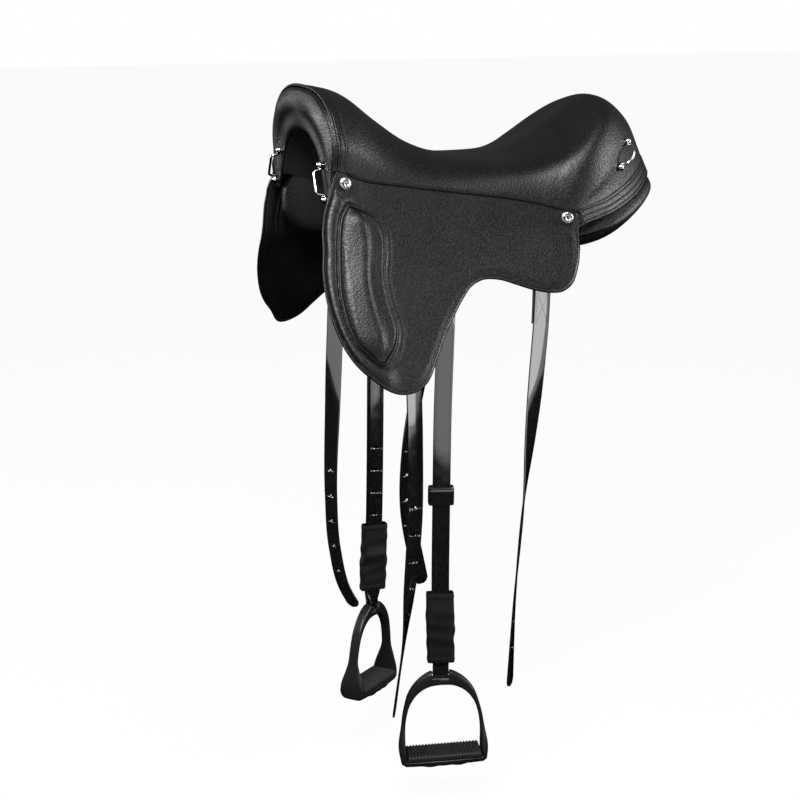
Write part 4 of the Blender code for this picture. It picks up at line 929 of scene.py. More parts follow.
@dataclass
class SeatForm:
    """The seat's outer face: five lines from pommel to cantle, each with a point at each station."""

    centre: tuple = ((0, -177, 200), (0, -139, 193), (0, -88, 156), (0, -34, 120), (0, 20, 101),
                     (0, 72, 96), (0, 120, 99), (0, 170, 119), (0, 222, 152), (0, 268, 178),
                     (0, 306, 155), (0, 347, 88), (0, 357, 67))
    inner: tuple = ((64, -177, 194), (57, -140, 185), (51, -89, 150), (44, -34, 116), (44, 20, 99),
                    (45, 72, 95), (47, 120, 96), (49, 168, 111), (51, 215, 140), (52, 264, 171),
                    (54, 298, 148), (52, 332, 83), (54, 342, 61))
    shoulder: tuple = ((109, -177, 171), (98, -140, 160), (86, -91, 130), (79, -35, 102), (81, 20, 91),
                       (84, 72, 90), (88, 119, 91), (92, 163, 102), (97, 202, 124), (101, 239, 147),
                       (106, 260, 120), (95, 290, 61), (98, 301, 40))
    side: tuple = ((134, -177, 126), (122, -139, 117), (111, -92, 100), (106, -36, 84), (109, 20, 77),
                   (114, 72, 75), (119, 117, 76), (124, 153, 84), (129, 178, 94), (135, 198, 99),
                   (138, 216, 72), (128, 235, 41), (131, 245, 21))
    seam: tuple = ((130, -177, 97), (124, -140, 83), (121, -93, 74), (120, -37, 65), (123, 19, 57),
                   (128, 70, 50), (134, 113, 42), (139, 137, 36), (142, 152, 32), (144.5, 164, 29.5),
                   (146, 174, 27.5), (146.5, 184, 25.5), (149, 190, 7))
    places: tuple = (0.0, 0.27, 0.53, 0.78, 1.0, 1.16)
    hem_drops: tuple = (22,) * 10 + (19, 14, 4)
    band: float = 14.0
    cover: float = 1.8

    def __post_init__(self) -> None:
        """Builds the net of control points and its normals."""
        lines = np.array([self.centre, self.inner, self.shoulder, self.side, self.seam], float)
        drops = np.array(self.hem_drops, float)
        hem = lines[-1] + np.stack([flare(drops), np.zeros(len(drops)), -drops], axis=1)
        left = np.concatenate([lines, hem[None]])
        right = left[:0:-1] * np.array([-1, 1, 1])
        self.net = np.concatenate([right, left]).transpose(1, 0, 2)
        self.net_places = np.array([-p for p in self.places[:0:-1]] + list(self.places))
        steps = np.linalg.norm(np.diff(np.array(self.centre, float), axis=0), axis=1)
        self.stations = np.concatenate([[0], np.cumsum(steps)])
        self.back_seam = self.stations[-2]
        self.band_end = self.stations[-1]
        stations, places = self.stations, self.net_places
        run = self.points(stations + 9, places) - self.points(stations - 9, places)
        turn = self.points(stations, places + 0.08) - self.points(stations, places - 0.08)
        normal = unit(np.cross(turn, run))
        ends = np.concatenate([normal[:1], normal, normal[-1:]])
        self.net_normals = unit((ends[:-2] + 2 * ends[1:-1] + ends[2:]) / 4)
        self.seam_curve = self.points(np.linspace(0, self.back_seam, 200), np.array([1.0]))[:, 0]

    def points(self, stations: Array, places: Array) -> Array:
        """Points of the outer face: a cubic along each line, then one across the lines."""
        by_station = through(self.stations, self.net, stations, calm=True)
        return through(self.net_places, by_station.transpose(1, 0, 2), places, calm=True).transpose(1, 0, 2)

    def normals(self, stations: Array, places: Array) -> Array:
        """Directions square to the outer face, drawn through those of the control points."""
        by_station = through(self.stations, self.net_normals, stations)
        return unit(through(self.net_places, by_station.transpose(1, 0, 2), places).transpose(1, 0, 2))

    def layer(self, stations: Array, places: Array, out: Any, inside: Any) -> tuple[Array, Array]:
        """Two grids of the seat below its outer face: points - normal x depth.

        Args:
            stations: how far along the seat, in millimetres from its front edge.
            places: how far across, from -1 at one seam to 1 at the other.
            out: depth of the first grid, one number or one for each point.
            inside: depth of the second grid.

        Returns:
            The two grids of points.
        """
        points = self.points(stations, places)
        normals = self.normals(stations, places)
        depth_out = np.broadcast_to(out, points.shape[:2])[..., None]
        depth_in = np.broadcast_to(inside, points.shape[:2])[..., None]
        return points - normals * depth_out, points - normals * depth_in

    def foam_depth(self, stations: Array, places: Array, edge: float, extra: float) -> Array:
        """Thickness of the foam: edge + extra where the rider sits, edge at its borders.

        Args:
            stations: along the seat.
            places: across it.
            edge: thickness at the borders.
            extra: more where it is thickest.

        Returns:
            One thickness for each station and place.
        """
        wide = 1 - smooth_step(np.abs(places), 0.45, 0.9)
        long = smooth_step(stations, 0, 60) * (
            1 - smooth_step(stations, self.back_seam - 90, self.back_seam - 20))
        return edge + extra * np.outer(long, wide)

    def ridge_drop(self, stations: Array) -> Array:
        """How much deeper the foam lies behind the cantle's ridge, one row for each station."""
        ridge = self.stations[9]
        return 1.6 * smooth_step(stations, ridge - 10, ridge + 25)[:, None]

    def grooved_band(self, stations: Array, spots: Sequence[float], spread: float,
                     proud: float) -> tuple[Array, Array]:
        """Grooves as a sum of 0.5 exp(-((s - spot) / spread)^2) over a band's width s.

        Args:
            stations: the band's stations.
            spots: where the grooves lie, from 0 to 1.
            spread: width of a groove, as a share of the band.
            proud: how far the band stands off the seat's face.

        Returns:
            Each station's depth, as one column, and the stations of the grooves.
        """
        share = (stations - stations[0]) / (stations[-1] - stations[0])
        grooves = sum(0.5 * np.exp(-((share - at) / spread) ** 2) for at in spots)
        rows = np.array([stations[0] + at * (stations[-1] - stations[0]) for at in spots])
        return (grooves - proud)[:, None], rows

    def band_stitches(self, name: str, rows: Array, count: int, lift: float) -> None:
        """A row of stitches along each groove of a band, from one end to the other."""
        fine = np.linspace(-0.985, 0.985, count)
        for number, station in enumerate(rows):
            normal = self.normals(np.array([station]), fine)[0]
            line = self.points(np.array([station]), fine)[0] + normal * lift
            place_piece(stitches(f"{name}_{number}", line, normal), Finish.THREAD, "saddle")

    def exact_normal(self, station: float, place: float) -> Array:
        """Unit normal of the outer face at one spot, from small steps along and across.

        Args:
            station: along the seat.
            place: across it.

        Returns:
            The unit normal.
        """
        patch = self.points(np.array([station - 0.5, station + 0.5]), np.array([place - 0.01, place + 0.01]))
        run = patch[1].sum(axis=0) - patch[0].sum(axis=0)
        turn = patch[:, 1].sum(axis=0) - patch[:, 0].sum(axis=0)
        return unit(np.cross(turn, run))

    def seam_at(self, y: Array) -> tuple[Array, Array]:
        """The seam's x and z at this y."""
        return (np.interp(y, self.seam_curve[:, 1], self.seam_curve[:, 0]),
                np.interp(y, self.seam_curve[:, 1], self.seam_curve[:, 2]))


def flare(drop: Array) -> Array:
    """How far the flap stands out at this drop below the seam: upright at first, then straight."""
    drop = np.maximum(drop, 0)
    return 0.60 * drop ** 2 / (drop + 100.0)


@dataclass
class SeatTop:
    """The seat's leather and foam, and the stitched band under the cantle."""

    form: SeatForm
    foam_edge: float = 1.6
    foam_seat: float = 13.0
    foam_clear: float = 2.0
    flank_drop: float = 2.4
    rows: int = 230
    columns: int = 150
    tuck_length: float = 9.0
    tuck_depth: float = 5.3

    def build(self) -> None:
        """Makes the seat leather, its foam, the seam's edge and the cantle band."""
        form = self.form
        stations = np.linspace(form.band + GAP + 0.7, form.back_seam - 0.7, self.rows)
        places = np.linspace(-0.994, 0.994, self.columns)
        across = np.abs(places)[None, :]
        length = stations[:, None]
        tuck = 0.9 * np.maximum(1 - (0.994 - across) / 0.035, 0) ** 2
        fold = self.folds(length, np.broadcast_to(places[None, :], (self.rows, self.columns)))
        outer, inner = form.layer(stations, places, tuck + fold, form.cover)
        flank = smooth_step(length, form.stations[8] - 10, form.stations[9]) * smooth_step(across, 0.35, 0.65)
        outer, inner = (relaxed(relaxed(grid, 45), 75, flank) for grid in (outer, inner))
        seat = sheet_surface(outer, inner, 4).object("seat_leather")
        place_piece(seat, Finish.LEATHER, "saddle", ["seat_cover"])
        self.build_foam()
        self.build_seam_edge()
        self.build_band()

    def folds(self, stations: Array, places: Array) -> Array:
        """Depth of the soft dips where the seat turns up to the cantle: two humps side by side.

        Args:
            stations: along the seat.
            places: across it.

        Returns:
            The depth at each point.
        """
        rise = bump(stations, float(self.form.stations[7]) - 6, 34)
        sides = bump(np.abs(places), 0.47, 0.22)
        ripple = 0.5 + 0.5 * np.sin(stations * 0.21 + np.abs(places) * 9)
        return 0.9 * rise * sides * ripple

    def build_foam(self) -> None:
        """The foam under the leather, thick in the seat and thin at its edges."""
        form = self.form
        stations = np.linspace(form.band + 3, form.back_seam - 6, 60)
        places = np.linspace(-0.93, 0.93, 48)
        depth = form.foam_depth(stations, places, self.foam_edge, self.foam_seat - self.foam_edge)
        top = form.cover + self.foam_clear + form.ridge_drop(stations)
        behind = smooth_step(stations, form.stations[8], form.stations[9])
        top = top + self.flank_drop * np.outer(behind, smooth_step(np.abs(places), 0.4, 0.6))
        outer, inner = form.layer(stations, places, top, top + depth)
        foam = sheet_surface(outer, inner, 3, 0.5).object("seat_padding")
        place_piece(foam, Finish.FOAM, "saddle", ["seat_foam"])

    def tucked(self, stations: Array, outer: Array, inner: Array) -> tuple[Array, Array]:
        """The band with both ends carried on behind the flaps.

        Each added column goes further along the band's last direction and sinks by a smooth step.

        Args:
            stations: of the band's rows.
            outer: the band's face.
            inner: its back.

        Returns:
            The two longer grids.
        """
        ends = self.form.normals(stations, np.array([-0.99, 0.99]))
        steps = np.linspace(0, 1, 9)[1:, None, None]
        longer = []
        for grid in (outer, inner):
            first = unit(grid[:, 0] - grid[:, 4])
            last = unit(grid[:, -1] - grid[:, -5])
            sink = self.tuck_depth * smooth_step(steps, 0, 1)
            before = grid[:, 0] + first * self.tuck_length * steps - ends[:, 0] * sink
            after = grid[:, -1] + last * self.tuck_length * steps - ends[:, 1] * sink
            longer.append(np.concatenate(
                [before[::-1].transpose(1, 0, 2), grid, after.transpose(1, 0, 2)], axis=1))
        return longer[0], longer[1]

    def build_seam_edge(self) -> None:
        """The turned edge of the seat leather where it meets the flaps: a thin bead on each side."""
        form = self.form
        stations = np.linspace(form.band + 6, form.back_seam - 2, 220)
        for side in Side:
            line = form.points(stations, np.array([0.999]))[:, 0]
            normal = form.normals(stations, np.array([0.999]))[:, 0]
            path = side.mirror(line + normal * 1.7 - np.array([0, 0, 0.2]))
            bead = round_cord(path, 1.0, side.mirror(normal)[len(normal) // 2], 12)
            place_piece(bead.object(f"seat_seam_bead_{side.label}"), Finish.BAND, "saddle")

    def build_band(self) -> None:
        """The band under the cantle: two flat ridges between three stitched grooves."""
        form = self.form
        stations = np.linspace(form.back_seam + GAP + 0.7, form.band_end - 0.7, 34)
        places = np.linspace(-0.995, 0.995, 260)
        depth, rows = form.grooved_band(stations, (0.16, 0.52, 0.84), 0.055, 0.8)
        outer, inner = form.layer(stations, places, depth, form.cover)
        outer, inner = self.tucked(stations, outer, inner)
        band = sheet_surface(outer, inner, 4).object("cantle_band")
        place_piece(band, Finish.BAND, "saddle", ["cantle_binding"])
        declare_sheet(band, outer)
        form.band_stitches("cantle_stitches", rows, 500, 0.35)


@dataclass
class Pommel:
    """The padded front face, its piping and band, and the lining under the arch."""

    form: SeatForm
    outer_line: tuple = ((0, 198.5), (63, 192.5), (107, 170), (131, 126), (126.5, 97), (122, 68), (112, 44))
    inner_line: tuple = ((0, 139), (30, 134), (54, 122), (72, 104), (84, 82), (93, 62), (101, 46))
    back_y: float = -179.4
    edge: float = 2.4
    crown: float = 6.5
    leg_share: float = 0.4
    roll: float = 4.2
    dip: float = 2.2
    lining: float = 2.5

    @property
    def leg_y(self) -> float:
        """Where the front of the face's flat legs lies."""
        return self.back_y - self.edge - self.crown * self.leg_share

    def arch(self, points: Any, count: int) -> Array:
        """An arch curve from right to left through the (x, z) points of its left half."""
        half = along(points, count)
        return np.concatenate([half[:0:-1] * np.array([-1, 1]), half])

    def build(self) -> None:
        """Makes the face, the piping, the band and the lining."""
        self.build_face()
        self.build_piping()
        self.build_band()
        self.build_lining()

    def build_face(self) -> None:
        """The padded arch: its front stands off a flat back by edge + crown x sin(pi s^0.8)^0.6.

        A roll near the outer edge and a dip near the inner one are humps over s, the share of the
        way from the outer line to the inner one.
        """
        count = 70
        outer = self.arch(self.outer_line, count)
        inner = self.arch(self.inner_line, count)
        across = 0.05 + 0.92 * clustered(40, 0.8)
        shape = np.sin(math.pi * np.linspace(0.02, 0.98, len(across)) ** 0.8) ** 0.6
        spread = np.abs(np.linspace(-1, 1, len(outer)))
        ends = smooth_step(1 - spread, -0.02, 0.1)
        legs = 1 - (1 - self.leg_share) * smooth_step(spread, 0.34, 0.6)
        flat = outer[:, None] * (1 - across)[:, None] + inner[:, None] * across[:, None]
        shoulders = ends * bump(spread, 0.42, 0.5)
        roll = self.roll * np.outer(shoulders, bump(across, 0.34, 0.30))
        dip = self.dip * np.outer(shoulders, bump(across, 0.68, 0.22))
        lift = self.edge + self.crown * np.outer(ends * legs, shape) + roll - dip
        front = np.stack([flat[..., 0], self.back_y - lift, flat[..., 1]], axis=2)
        back = np.stack([flat[..., 0], np.full(flat.shape[:2], self.back_y), flat[..., 1]], axis=2)
        face = sheet_surface(front, back, 4, 0.7).object("pommel_pad")
        place_piece(face, Finish.LEATHER, "saddle", ["pommel_face"])

    def build_piping(self) -> None:
        """The round piping between the face and the band, along the seat's front edge."""
        arch = self.form.points(np.array([0.0]), np.linspace(-1, 1, 160))[0]
        centre = arch * np.array([0.988, 1, 0.995]) + np.array([0, -2.4, 0.4])
        cord = round_cord(centre, 2.15, np.array([0.0, 1.0, 0.0]), 16)
        place_piece(cord.object("pommel_piping"), Finish.BAND, "saddle", ["pommel_welt"])

    def build_band(self) -> None:
        """The band on the pommel's edge, with a stitched groove near each side."""
        form = self.form
        stations = np.linspace(1.2, form.band - 0.7, 24)
        places = np.linspace(-0.995, 0.995, 220)
        depth, rows = form.grooved_band(stations, (0.2, 0.8), 0.07, 0.6)
        outer, inner = form.layer(stations, places, depth, form.cover)
        band = sheet_surface(outer, inner, 4).object("pommel_band")
        place_piece(band, Finish.BAND, "saddle", ["pommel_binding"])
        declare_sheet(band, outer)
        form.band_stitches("pommel_stitches", rows, 420, 0.3)

    def build_lining(self) -> None:
        """The lining under the arch: the inner arch curve, narrowed and lowered towards the rear."""
        depth = np.linspace(self.back_y + GAP + 0.6, -86.6, 40)
        back = smooth_step(depth, self.back_y + GAP, -86)
        narrow = 1 - 0.45 * back
        lift = 36.0 * back
        curve = self.arch(self.inner_line[:6], 44)[1:-1]
        run = np.gradient(curve, axis=0)
        normal = unit(np.stack([-run[:, 1], run[:, 0]], axis=1))
        grids = []
        for thick in (self.lining, 0.0):
            line = curve + normal * thick
            grids.append(np.stack([
                narrow[:, None] * line[:, 0], np.broadcast_to(depth[:, None], (len(depth), len(line))),
                line[:, 1] - lift[:, None]], axis=2))
        lining = sheet_surface(grids[0], grids[1], 4, 0.8).object("arch_lining")
        place_piece(lining, Finish.FLESH, "saddle", ["gullet_lining"])
        declare_sheet(lining, grids[1])


@dataclass
class PanelPads:
    """The two padded panels that lie on the horse's back."""

    form: SeatForm
    outer_top: tuple = ((113, -174, 48), (104, -140, 36), (96, -90, 22), (94, -30, 14), (95, 30, 12),
                        (101, 90, 8), (112, 140, 2), (134, 188, 0), (126, 246, 18), (98, 298, 40),
                        (56, 340, 60), (36, 348, 64))
    outer_middle: tuple = ((117, -175, 28), (109, -141, 6), (102, -90, -8), (100, -30, -14), (101, 30, -14),
                           (107, 90, -14), (118, 140, -16), (135, 190, -13), (133, 243, -2), (108, 297, 18),
                           (64, 343, 42), (38, 354, 48))
    outer_bottom: tuple = ((113, -176, 8), (106, -142, -26), (99, -90, -38), (97, -30, -42), (97, 30, -43),
                           (101, 90, -40), (109, 140, -34), (122, 194, -28), (115, 240, -18), (90, 292, 6),
                           (56, 330, 28), (37, 340, 35))
    bottom: tuple = ((106, -176, -2), (94, -142, -24), (80, -90, -27), (76, -30, -28), (76, 30, -29),
                     (78, 90, -27), (82, 140, -23), (86, 192, -17), (82, 233, -8), (66, 277, 12),
                     (48, 314, 30), (35, 326, 36))
    inner_bottom: tuple = ((99, -175, 12), (80, -142, -6), (54, -90, -4), (40, -30, 2), (38, 30, 3),
                           (38, 90, 4), (39, 140, 6), (40, 190, 10), (39, 235, 18), (37, 275, 29),
                           (35, 305, 39), (31, 318, 43))
    inner_top: tuple = ((96, -174, 50), (78, -142, 84), (46, -90, 104), (36, -30, 88), (35, 30, 74),
                        (35, 90, 70), (36, 140, 74), (37, 190, 92), (37, 235, 92), (36, 275, 74),
                        (34, 305, 62), (31, 326, 60))
    top: tuple = ((106, -173, 54), (98, -142, 84), (78, -90, 92), (72, -30, 80), (74, 30, 66),
                  (80, 90, 58), (88, 140, 56), (94, 190, 62), (88, 236, 66), (68, 282, 62),
                  (48, 320, 62), (34, 334, 61))
    bar_pocket: tuple = ((96.5, -52, -10.5), (140, 28, 60))
    tree_gap: float = 4.0
    tree_thick: float = 6.0
    tree_extra: float = 10.0
    clear: float = 0.8
    rows: int = 120
    around: int = 98
    rounding: float = 0.06

    def build(self) -> None:
        """Carries a smooth ring of seven lines from front to rear, rounded at both ends.

        Near an end the ring shrinks about its centre to 0.55 + 0.45 sqrt(1 - (1 - d)^2), d the
        share of the way into the rounding.
        """
        order = (self.outer_top, self.outer_middle, self.outer_bottom, self.bottom, self.inner_bottom,
                 self.inner_top, self.top)
        coarse = np.array([along(line, 18) for line in order]).transpose(1, 0, 2)
        rings = []
        for corner in coarse:
            closed = np.concatenate([corner[-2:], corner, corner[:3]])
            places = np.linspace(0, len(order), self.around, endpoint=False)
            rings.append(through(np.arange(len(closed)) - 2, closed, places))
        rings = through(np.arange(18), np.array(rings), np.linspace(0, 17, self.rows), calm=True)
        centre = rings.mean(axis=1, keepdims=True)
        share = np.linspace(0, 1, self.rows)
        draw = np.minimum(share, 1 - share) / self.rounding
        scale = 0.55 + 0.45 * np.sqrt(np.clip(1 - (1 - np.clip(draw, 0, 1)) ** 2, 0, 1))
        rings = centre + (rings - centre) * scale[:, None, None]
        for side in Side:
            pad = tube_surface(side.mirror(rings)).object(f"panel_pad_{side.label}", 60)
            pad = cut_holes(pad, self.cutters(side))
            place_piece(pad, Finish.LEATHER, "saddle", [f"panel_{side.label}"])

    def cutters(self, side: Side) -> list[bpy.types.Object]:
        """What the panel is hollowed for: the seat and tree above it, the arch, and the bar.

        Args:
            side: of the saddle.

        Returns:
            Two closed bodies.
        """
        form = self.form
        stations = np.linspace(2, form.band_end + 1.2, 60)
        places = np.linspace(-1.16, 1.16, 60)
        foam = form.foam_depth(stations, places, 1.6, 11.4)
        top = 3.8 + form.ridge_drop(stations)
        bars = 1 - smooth_step(np.abs(places), 0.5, 0.85)
        middle = smooth_step(stations, 20, 120) * (
            1 - smooth_step(stations, form.back_seam - 120, form.back_seam - 40))
        skirt = 1.2 * smooth_step(np.abs(places), 0.93, 1.04)
        tree = self.tree_thick + self.tree_extra * np.outer(middle, bars)
        depth = top + foam + self.tree_gap + skirt + tree + self.clear
        fade = smooth_step(stations, form.back_seam - 3, form.back_seam + 1)[:, None]
        depth = depth * (1 - fade) + (form.cover + self.clear) * fade
        upper, lower = form.layer(stations, places, -6.0, depth)
        stack = sheet_surface(upper, lower, 2, 0.0).object(f"cut_stack_{side.label}")
        pocket = side.mirror(self.bar_pocket)
        corners = box_corners(pocket.min(axis=0), pocket.max(axis=0))
        return [stack, block(f"cut_pocket_{side.label}", corners)]


def box_corners(low: Sequence[float], high: Sequence[float]) -> Array:
    """The eight corners of a box; bit a of a corner's number says which end it has on axis a."""
    return np.array([[(high if (k >> a) & 1 else low)[a] for a in range(3)] for k in range(8)], float)


def block(name: str, corners: Array) -> bpy.types.Object:
    """A block through eight corners, for cutting.

    Args:
        name: of the object.
        corners: in the order of box_corners.

    Returns:
        The new object.
    """
    made = Surface()
    made.add(corners, [[0, 2, 3, 1], [4, 5, 7, 6], [0, 1, 5, 4], [2, 6, 7, 3], [0, 4, 6, 2], [1, 3, 7, 5]])
    return made.object(name)


@dataclass
class FlapForm:
    """The curved sheet that a flap lies in, and its outline, as (y, z) places."""

    form: SeatForm
    side: Side
    thick: float = 4.4
    proud: float = 0.5
    top_max: float = 84.0
    outline: tuple = ((-200, 40), (-205, 18), (-207, -4), (-212, -32), (-213, -65), (-208, -100),
                      (-197, -132), (-184, -152), (-166, -169), (-148, -183), (-126, -192), (-104, -192),
                      (-83, -183), (-60, -155), (-40, -126), (-22, -103), (-4, -82), (12, -67), (29, -60),
                      (53, -61), (78, -69), (102, -77), (131, -82), (145, -81), (156, -76), (165, -68),
                      (171, -58), (178, -41), (182, -24))
    block_front: tuple = ((-163, 49), (-174, 33), (-179, 14), (-186, -27), (-190, -62), (-189, -82),
                          (-180, -121), (-153, -151))
    block_rear: tuple = ((-149, 44), (-129, 33), (-115, 9), (-117, -18), (-124, -47), (-122, -84),
                         (-117, -116), (-125, -134), (-143, -152))
    fold_front: tuple = (-191.0, 55.0)
    fold_rear: tuple = (180.0, 0.0)
    studs: tuple = ((-166.0, 79.0), (163.0, 18.0))

    @property
    def curl(self) -> float:
        """How far the front border turns in towards the horse."""
        return 0.0 if self.side is Side.LEFT else 26.0

    def points(self, flat: Array, out: Any = 0.0) -> tuple[Array, Array]:
        """Points of the flap's face and their normals, on this side.

        Args:
            flat: (y, z) places.
            out: how far the points stand off the face.

        Returns:
            The points and the unit normals.
        """
        y, z = flat[..., 0], flat[..., 1]
        slope_y = (self._x(y + 2, z) - self._x(y - 2, z)) / 4
        slope_z = (self._x(y, z + 2) - self._x(y, z - 2)) / 4
        normal = unit(np.stack([np.ones_like(slope_y), -slope_y, -slope_z], axis=-1))
        slack_y, slack_z = self._slack(y, z)
        along_y = y + self.curl * 0.5 * self._curled(y, z) + slack_y
        points = np.stack([self._x(y, z), along_y, z + slack_z], axis=-1)
        lift = np.broadcast_to(out, y.shape)[..., None] + self.proud
        return self.side.mirror(points + normal * lift), self.side.mirror(normal)

    def _curled(self, y: Array, z: Array) -> Array:
        """Share of the curl at a place: full at the front below the seam."""
        return smooth_step(-y, 110, 205) * smooth_step(-z, -50, 40)

    def _slack(self, y: Array, z: Array) -> tuple[Array, Array]:
        """How far the right flap's soft leather hangs off its pattern: nothing on the left side.

        Args:
            y: places along the saddle.
            z: heights.

        Returns:
            How far each place moves back and up.
        """
        if self.side is Side.LEFT:
            return 0.0 * y, 0.0 * z
        top = np.minimum(self.form.seam_at(y)[1], self.top_max)
        corner = 8.0 * smooth_step(z, -15, 35) * smooth_step(top - z, 4, 26) * smooth_step(-y, 120, 190)
        tongue = -28.0 * smooth_step(y, -180, -80) * smooth_step(-z, 20, 150)
        return corner + tongue, 6.0 * smooth_step(-z, 110, 190)

    def _x(self, y: Array, z: Array) -> Array:
        """How far out the flap lies: the seam's x, the flare below it, and the curl."""
        x, top = self.form.seam_at(y)
        return x + flare(np.minimum(top, self.top_max) - z) - self.curl * self._curled(y, z)

    def border(self, inset: float, count: int = 500) -> Array:
        """The outline moved inwards, as evenly spaced (y, z) places."""
        return offset_line(along(self.outline, count), inset)

    def edge(self, inset: float, count: int = 760) -> Array:
        """The outline carried up both sides to the seam, moved inwards."""
        whole = ((-178.5, 90), (-188, 67)) + self.outline + ((180, 6),)
        return offset_line(along(whole, count), inset)

    def block_loop(self, spread: float, count: int = 360) -> Array:
        """The knee block's closed outline moved outwards, with its corners rounded.

        Args:
            spread: how far out of the outline.
            count: of points.

        Returns:
            (y, z) places once round.
        """
        front = along(self.block_front, 120)
        rear = along(self.block_rear, 120)
        loop = np.concatenate([front, rear[::-1]])
        loop = evenly(np.concatenate([loop, loop[:1]]), count + 1)[:-1]
        for _ in range(4):
            loop = (np.roll(loop, 1, axis=0) + 2 * loop + np.roll(loop, -1, axis=0)) / 4
        run = unit(np.roll(loop, -1, axis=0) - np.roll(loop, 1, axis=0))
        away = np.stack([run[:, 1], -run[:, 0]], axis=1)
        away *= np.sign((away * (loop - loop.mean(axis=0))).sum())
        return loop + away * spread


def offset_line(line: Array, inset: float) -> Array:
    """A line in the plane moved to its left by a distance, square to itself at each point."""
    run = unit(np.gradient(line, axis=0))
    return line + np.stack([-run[:, 1], run[:, 0]], axis=1) * inset


@dataclass
class Flap:
    """One flap: a padded leather sheet with a rolled border, and the block for the knee."""

    shape: FlapForm
    rows: int = 120
    columns: int = 300
    stitch_inset: float = 5.2
    block_stitch: float = 3.9
    block_gap_in: float = 1.9
    roll: float = 4.2
    block_rise: float = 12.5
    block_gap: float = 0.8
    lobes: tuple = ((0, 0), (0.06, 0.26), (0.16, 0.50), (0.30, 0.77), (0.43, 0.97), (0.50, 1.0),
                    (0.56, 0.92), (0.62, 0.80), (0.68, 0.80), (0.78, 0.88), (0.86, 0.92), (0.92, 0.82),
                    (0.97, 0.48), (1, 0))

    def build(self) -> None:
        """Makes the flap, its stitching, the knee block and the block's welt."""
        self.build_sheet()
        self.build_border_stitches()
        self.build_block()

    def relief(self, flat: Array) -> Array:
        """Height of the flap's face: a groove under each row of stitches, with soft pads between.

        Args:
            flat: (y, z) places.

        Returns:
            One height for each place.
        """
        border = distance_to(flat, self.shape.edge(0.0))
        loop = distance_to(flat, self.shape.block_loop(0.0))
        groove = 0.5 * np.exp(-((border - self.stitch_inset) / 1.2) ** 2)
        bead = 0.45 * bump(border, 2.4, 2.8)
        near_block = 0.5 * np.exp(-((loop - self.block_stitch) / 1.2) ** 2)
        ridge = 0.8 * bump(loop, 6.8, 2.8) * smooth_step(border, 24, 34)
        inner = np.maximum(border - self.stitch_inset, 0)
        outer = np.maximum(loop - self.block_stitch, 0)
        share = inner / (inner + outer + 1e-6)
        narrow = 1 - smooth_step(inner + outer, 16, 40)
        roll = self.roll * narrow * (4 * share * (1 - share)) ** 0.6
        soft = 1.5 * (1 - narrow) * smooth_step(border, 6, 16) * smooth_step(loop, 5, 16)
        return bead - groove - near_block + ridge + roll + soft - 0.5

    def build_sheet(self) -> None:
        """The flap's leather: top x (1 - r) + lower x r, ruled from the seam down to the outline.

        The relief raises it, less near the seam, the ends and the studs.
        """
        shape = self.shape
        seam_y = np.linspace(-176.4, 178.4, self.columns)
        seam_z = shape.form.seam_at(seam_y)[1] - 1.0
        lower = shape.border(2.0, self.columns)
        rows = 1 - (1 - np.linspace(0, 1, self.rows)) ** 1.25
        top = np.stack([seam_y, seam_z - 1.2], axis=1)
        flat = top[None] * (1 - rows)[:, None, None] + lower[None] * rows[:, None, None]
        column = np.arange(self.columns)
        side_fade = smooth_step(np.minimum(column, column[::-1]), 0, 5)[None]
        top_fade = smooth_step(seam_z[None] - flat[..., 1], 0.5, 10)
        lift = self.relief(flat) * top_fade * (0.3 + 0.7 * side_fade)
        studs = distance_to(flat, np.array(shape.studs))
        lift = np.where(lift > 0, lift * smooth_step(studs, 11, 24), lift)
        outer, _ = shape.points(flat, lift)
        border = distance_to(flat, shape.edge(0.0))
        loop = distance_to(flat, shape.block_loop(0.0))
        seams = np.exp(-((border - self.stitch_inset) / 1.1) ** 2)
        seams = seams + np.exp(-((loop - self.block_stitch) / 1.3) ** 2)
        within = 0.5 * smooth_step(border, 7, 14) * smooth_step(loop, 6, 12)
        inner, _ = shape.points(flat, 0.7 * seams * top_fade - within * top_fade - shape.thick)
        sheet = sheet_surface(outer, inner, 5, 0.85).object(f"flap_leather_{shape.side.label}")
        label = shape.side.label
        Finish.LEATHER.dress(sheet)
        self.bend(sheet)
        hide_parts(f"flap_top_{label}", f"flap_{label}")
        declare_sheet(sheet, outer)

    def bend(self, piece: bpy.types.Object) -> None:
        """Works out the ends of the flap's fold line, which nothing takes up, and bakes the piece's transform
        into its mesh.

        Args:
            piece: the sheet or a row of stitches on it.
        """
        shape = self.shape
        front, rear = np.array(shape.fold_front), np.array(shape.fold_rear)
        across = unit(np.array([front[1] - rear[1], rear[0] - front[0]]))
        place, _ = shape.points(np.array([(front + rear) / 2]), 0.0)
        start = place[0] + np.array([0, across[0], across[1]]) * 5.0
        end = place[0] - np.array([0, across[0], across[1]]) * 1.0
        shape.side.body("flap")
        tuple(start * MM)
        tuple(end * MM)
        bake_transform(piece)

    def build_border_stitches(self) -> None:
        """The row of stitches that follows the flap's edge."""
        shape = self.shape
        flat = shape.edge(self.stitch_inset)
        line, normal = shape.points(flat, -0.8)
        row = stitches(f"flap_stitches_{shape.side.label}", line, normal)
        Finish.THREAD.dress(row)
        self.bend(row)
        line, normal = shape.points(flat, 0.55 - shape.thick)
        row = stitches(f"flap_inner_stitches_{shape.side.label}", line, -normal)
        Finish.THREAD.dress(row)
        self.bend(row)

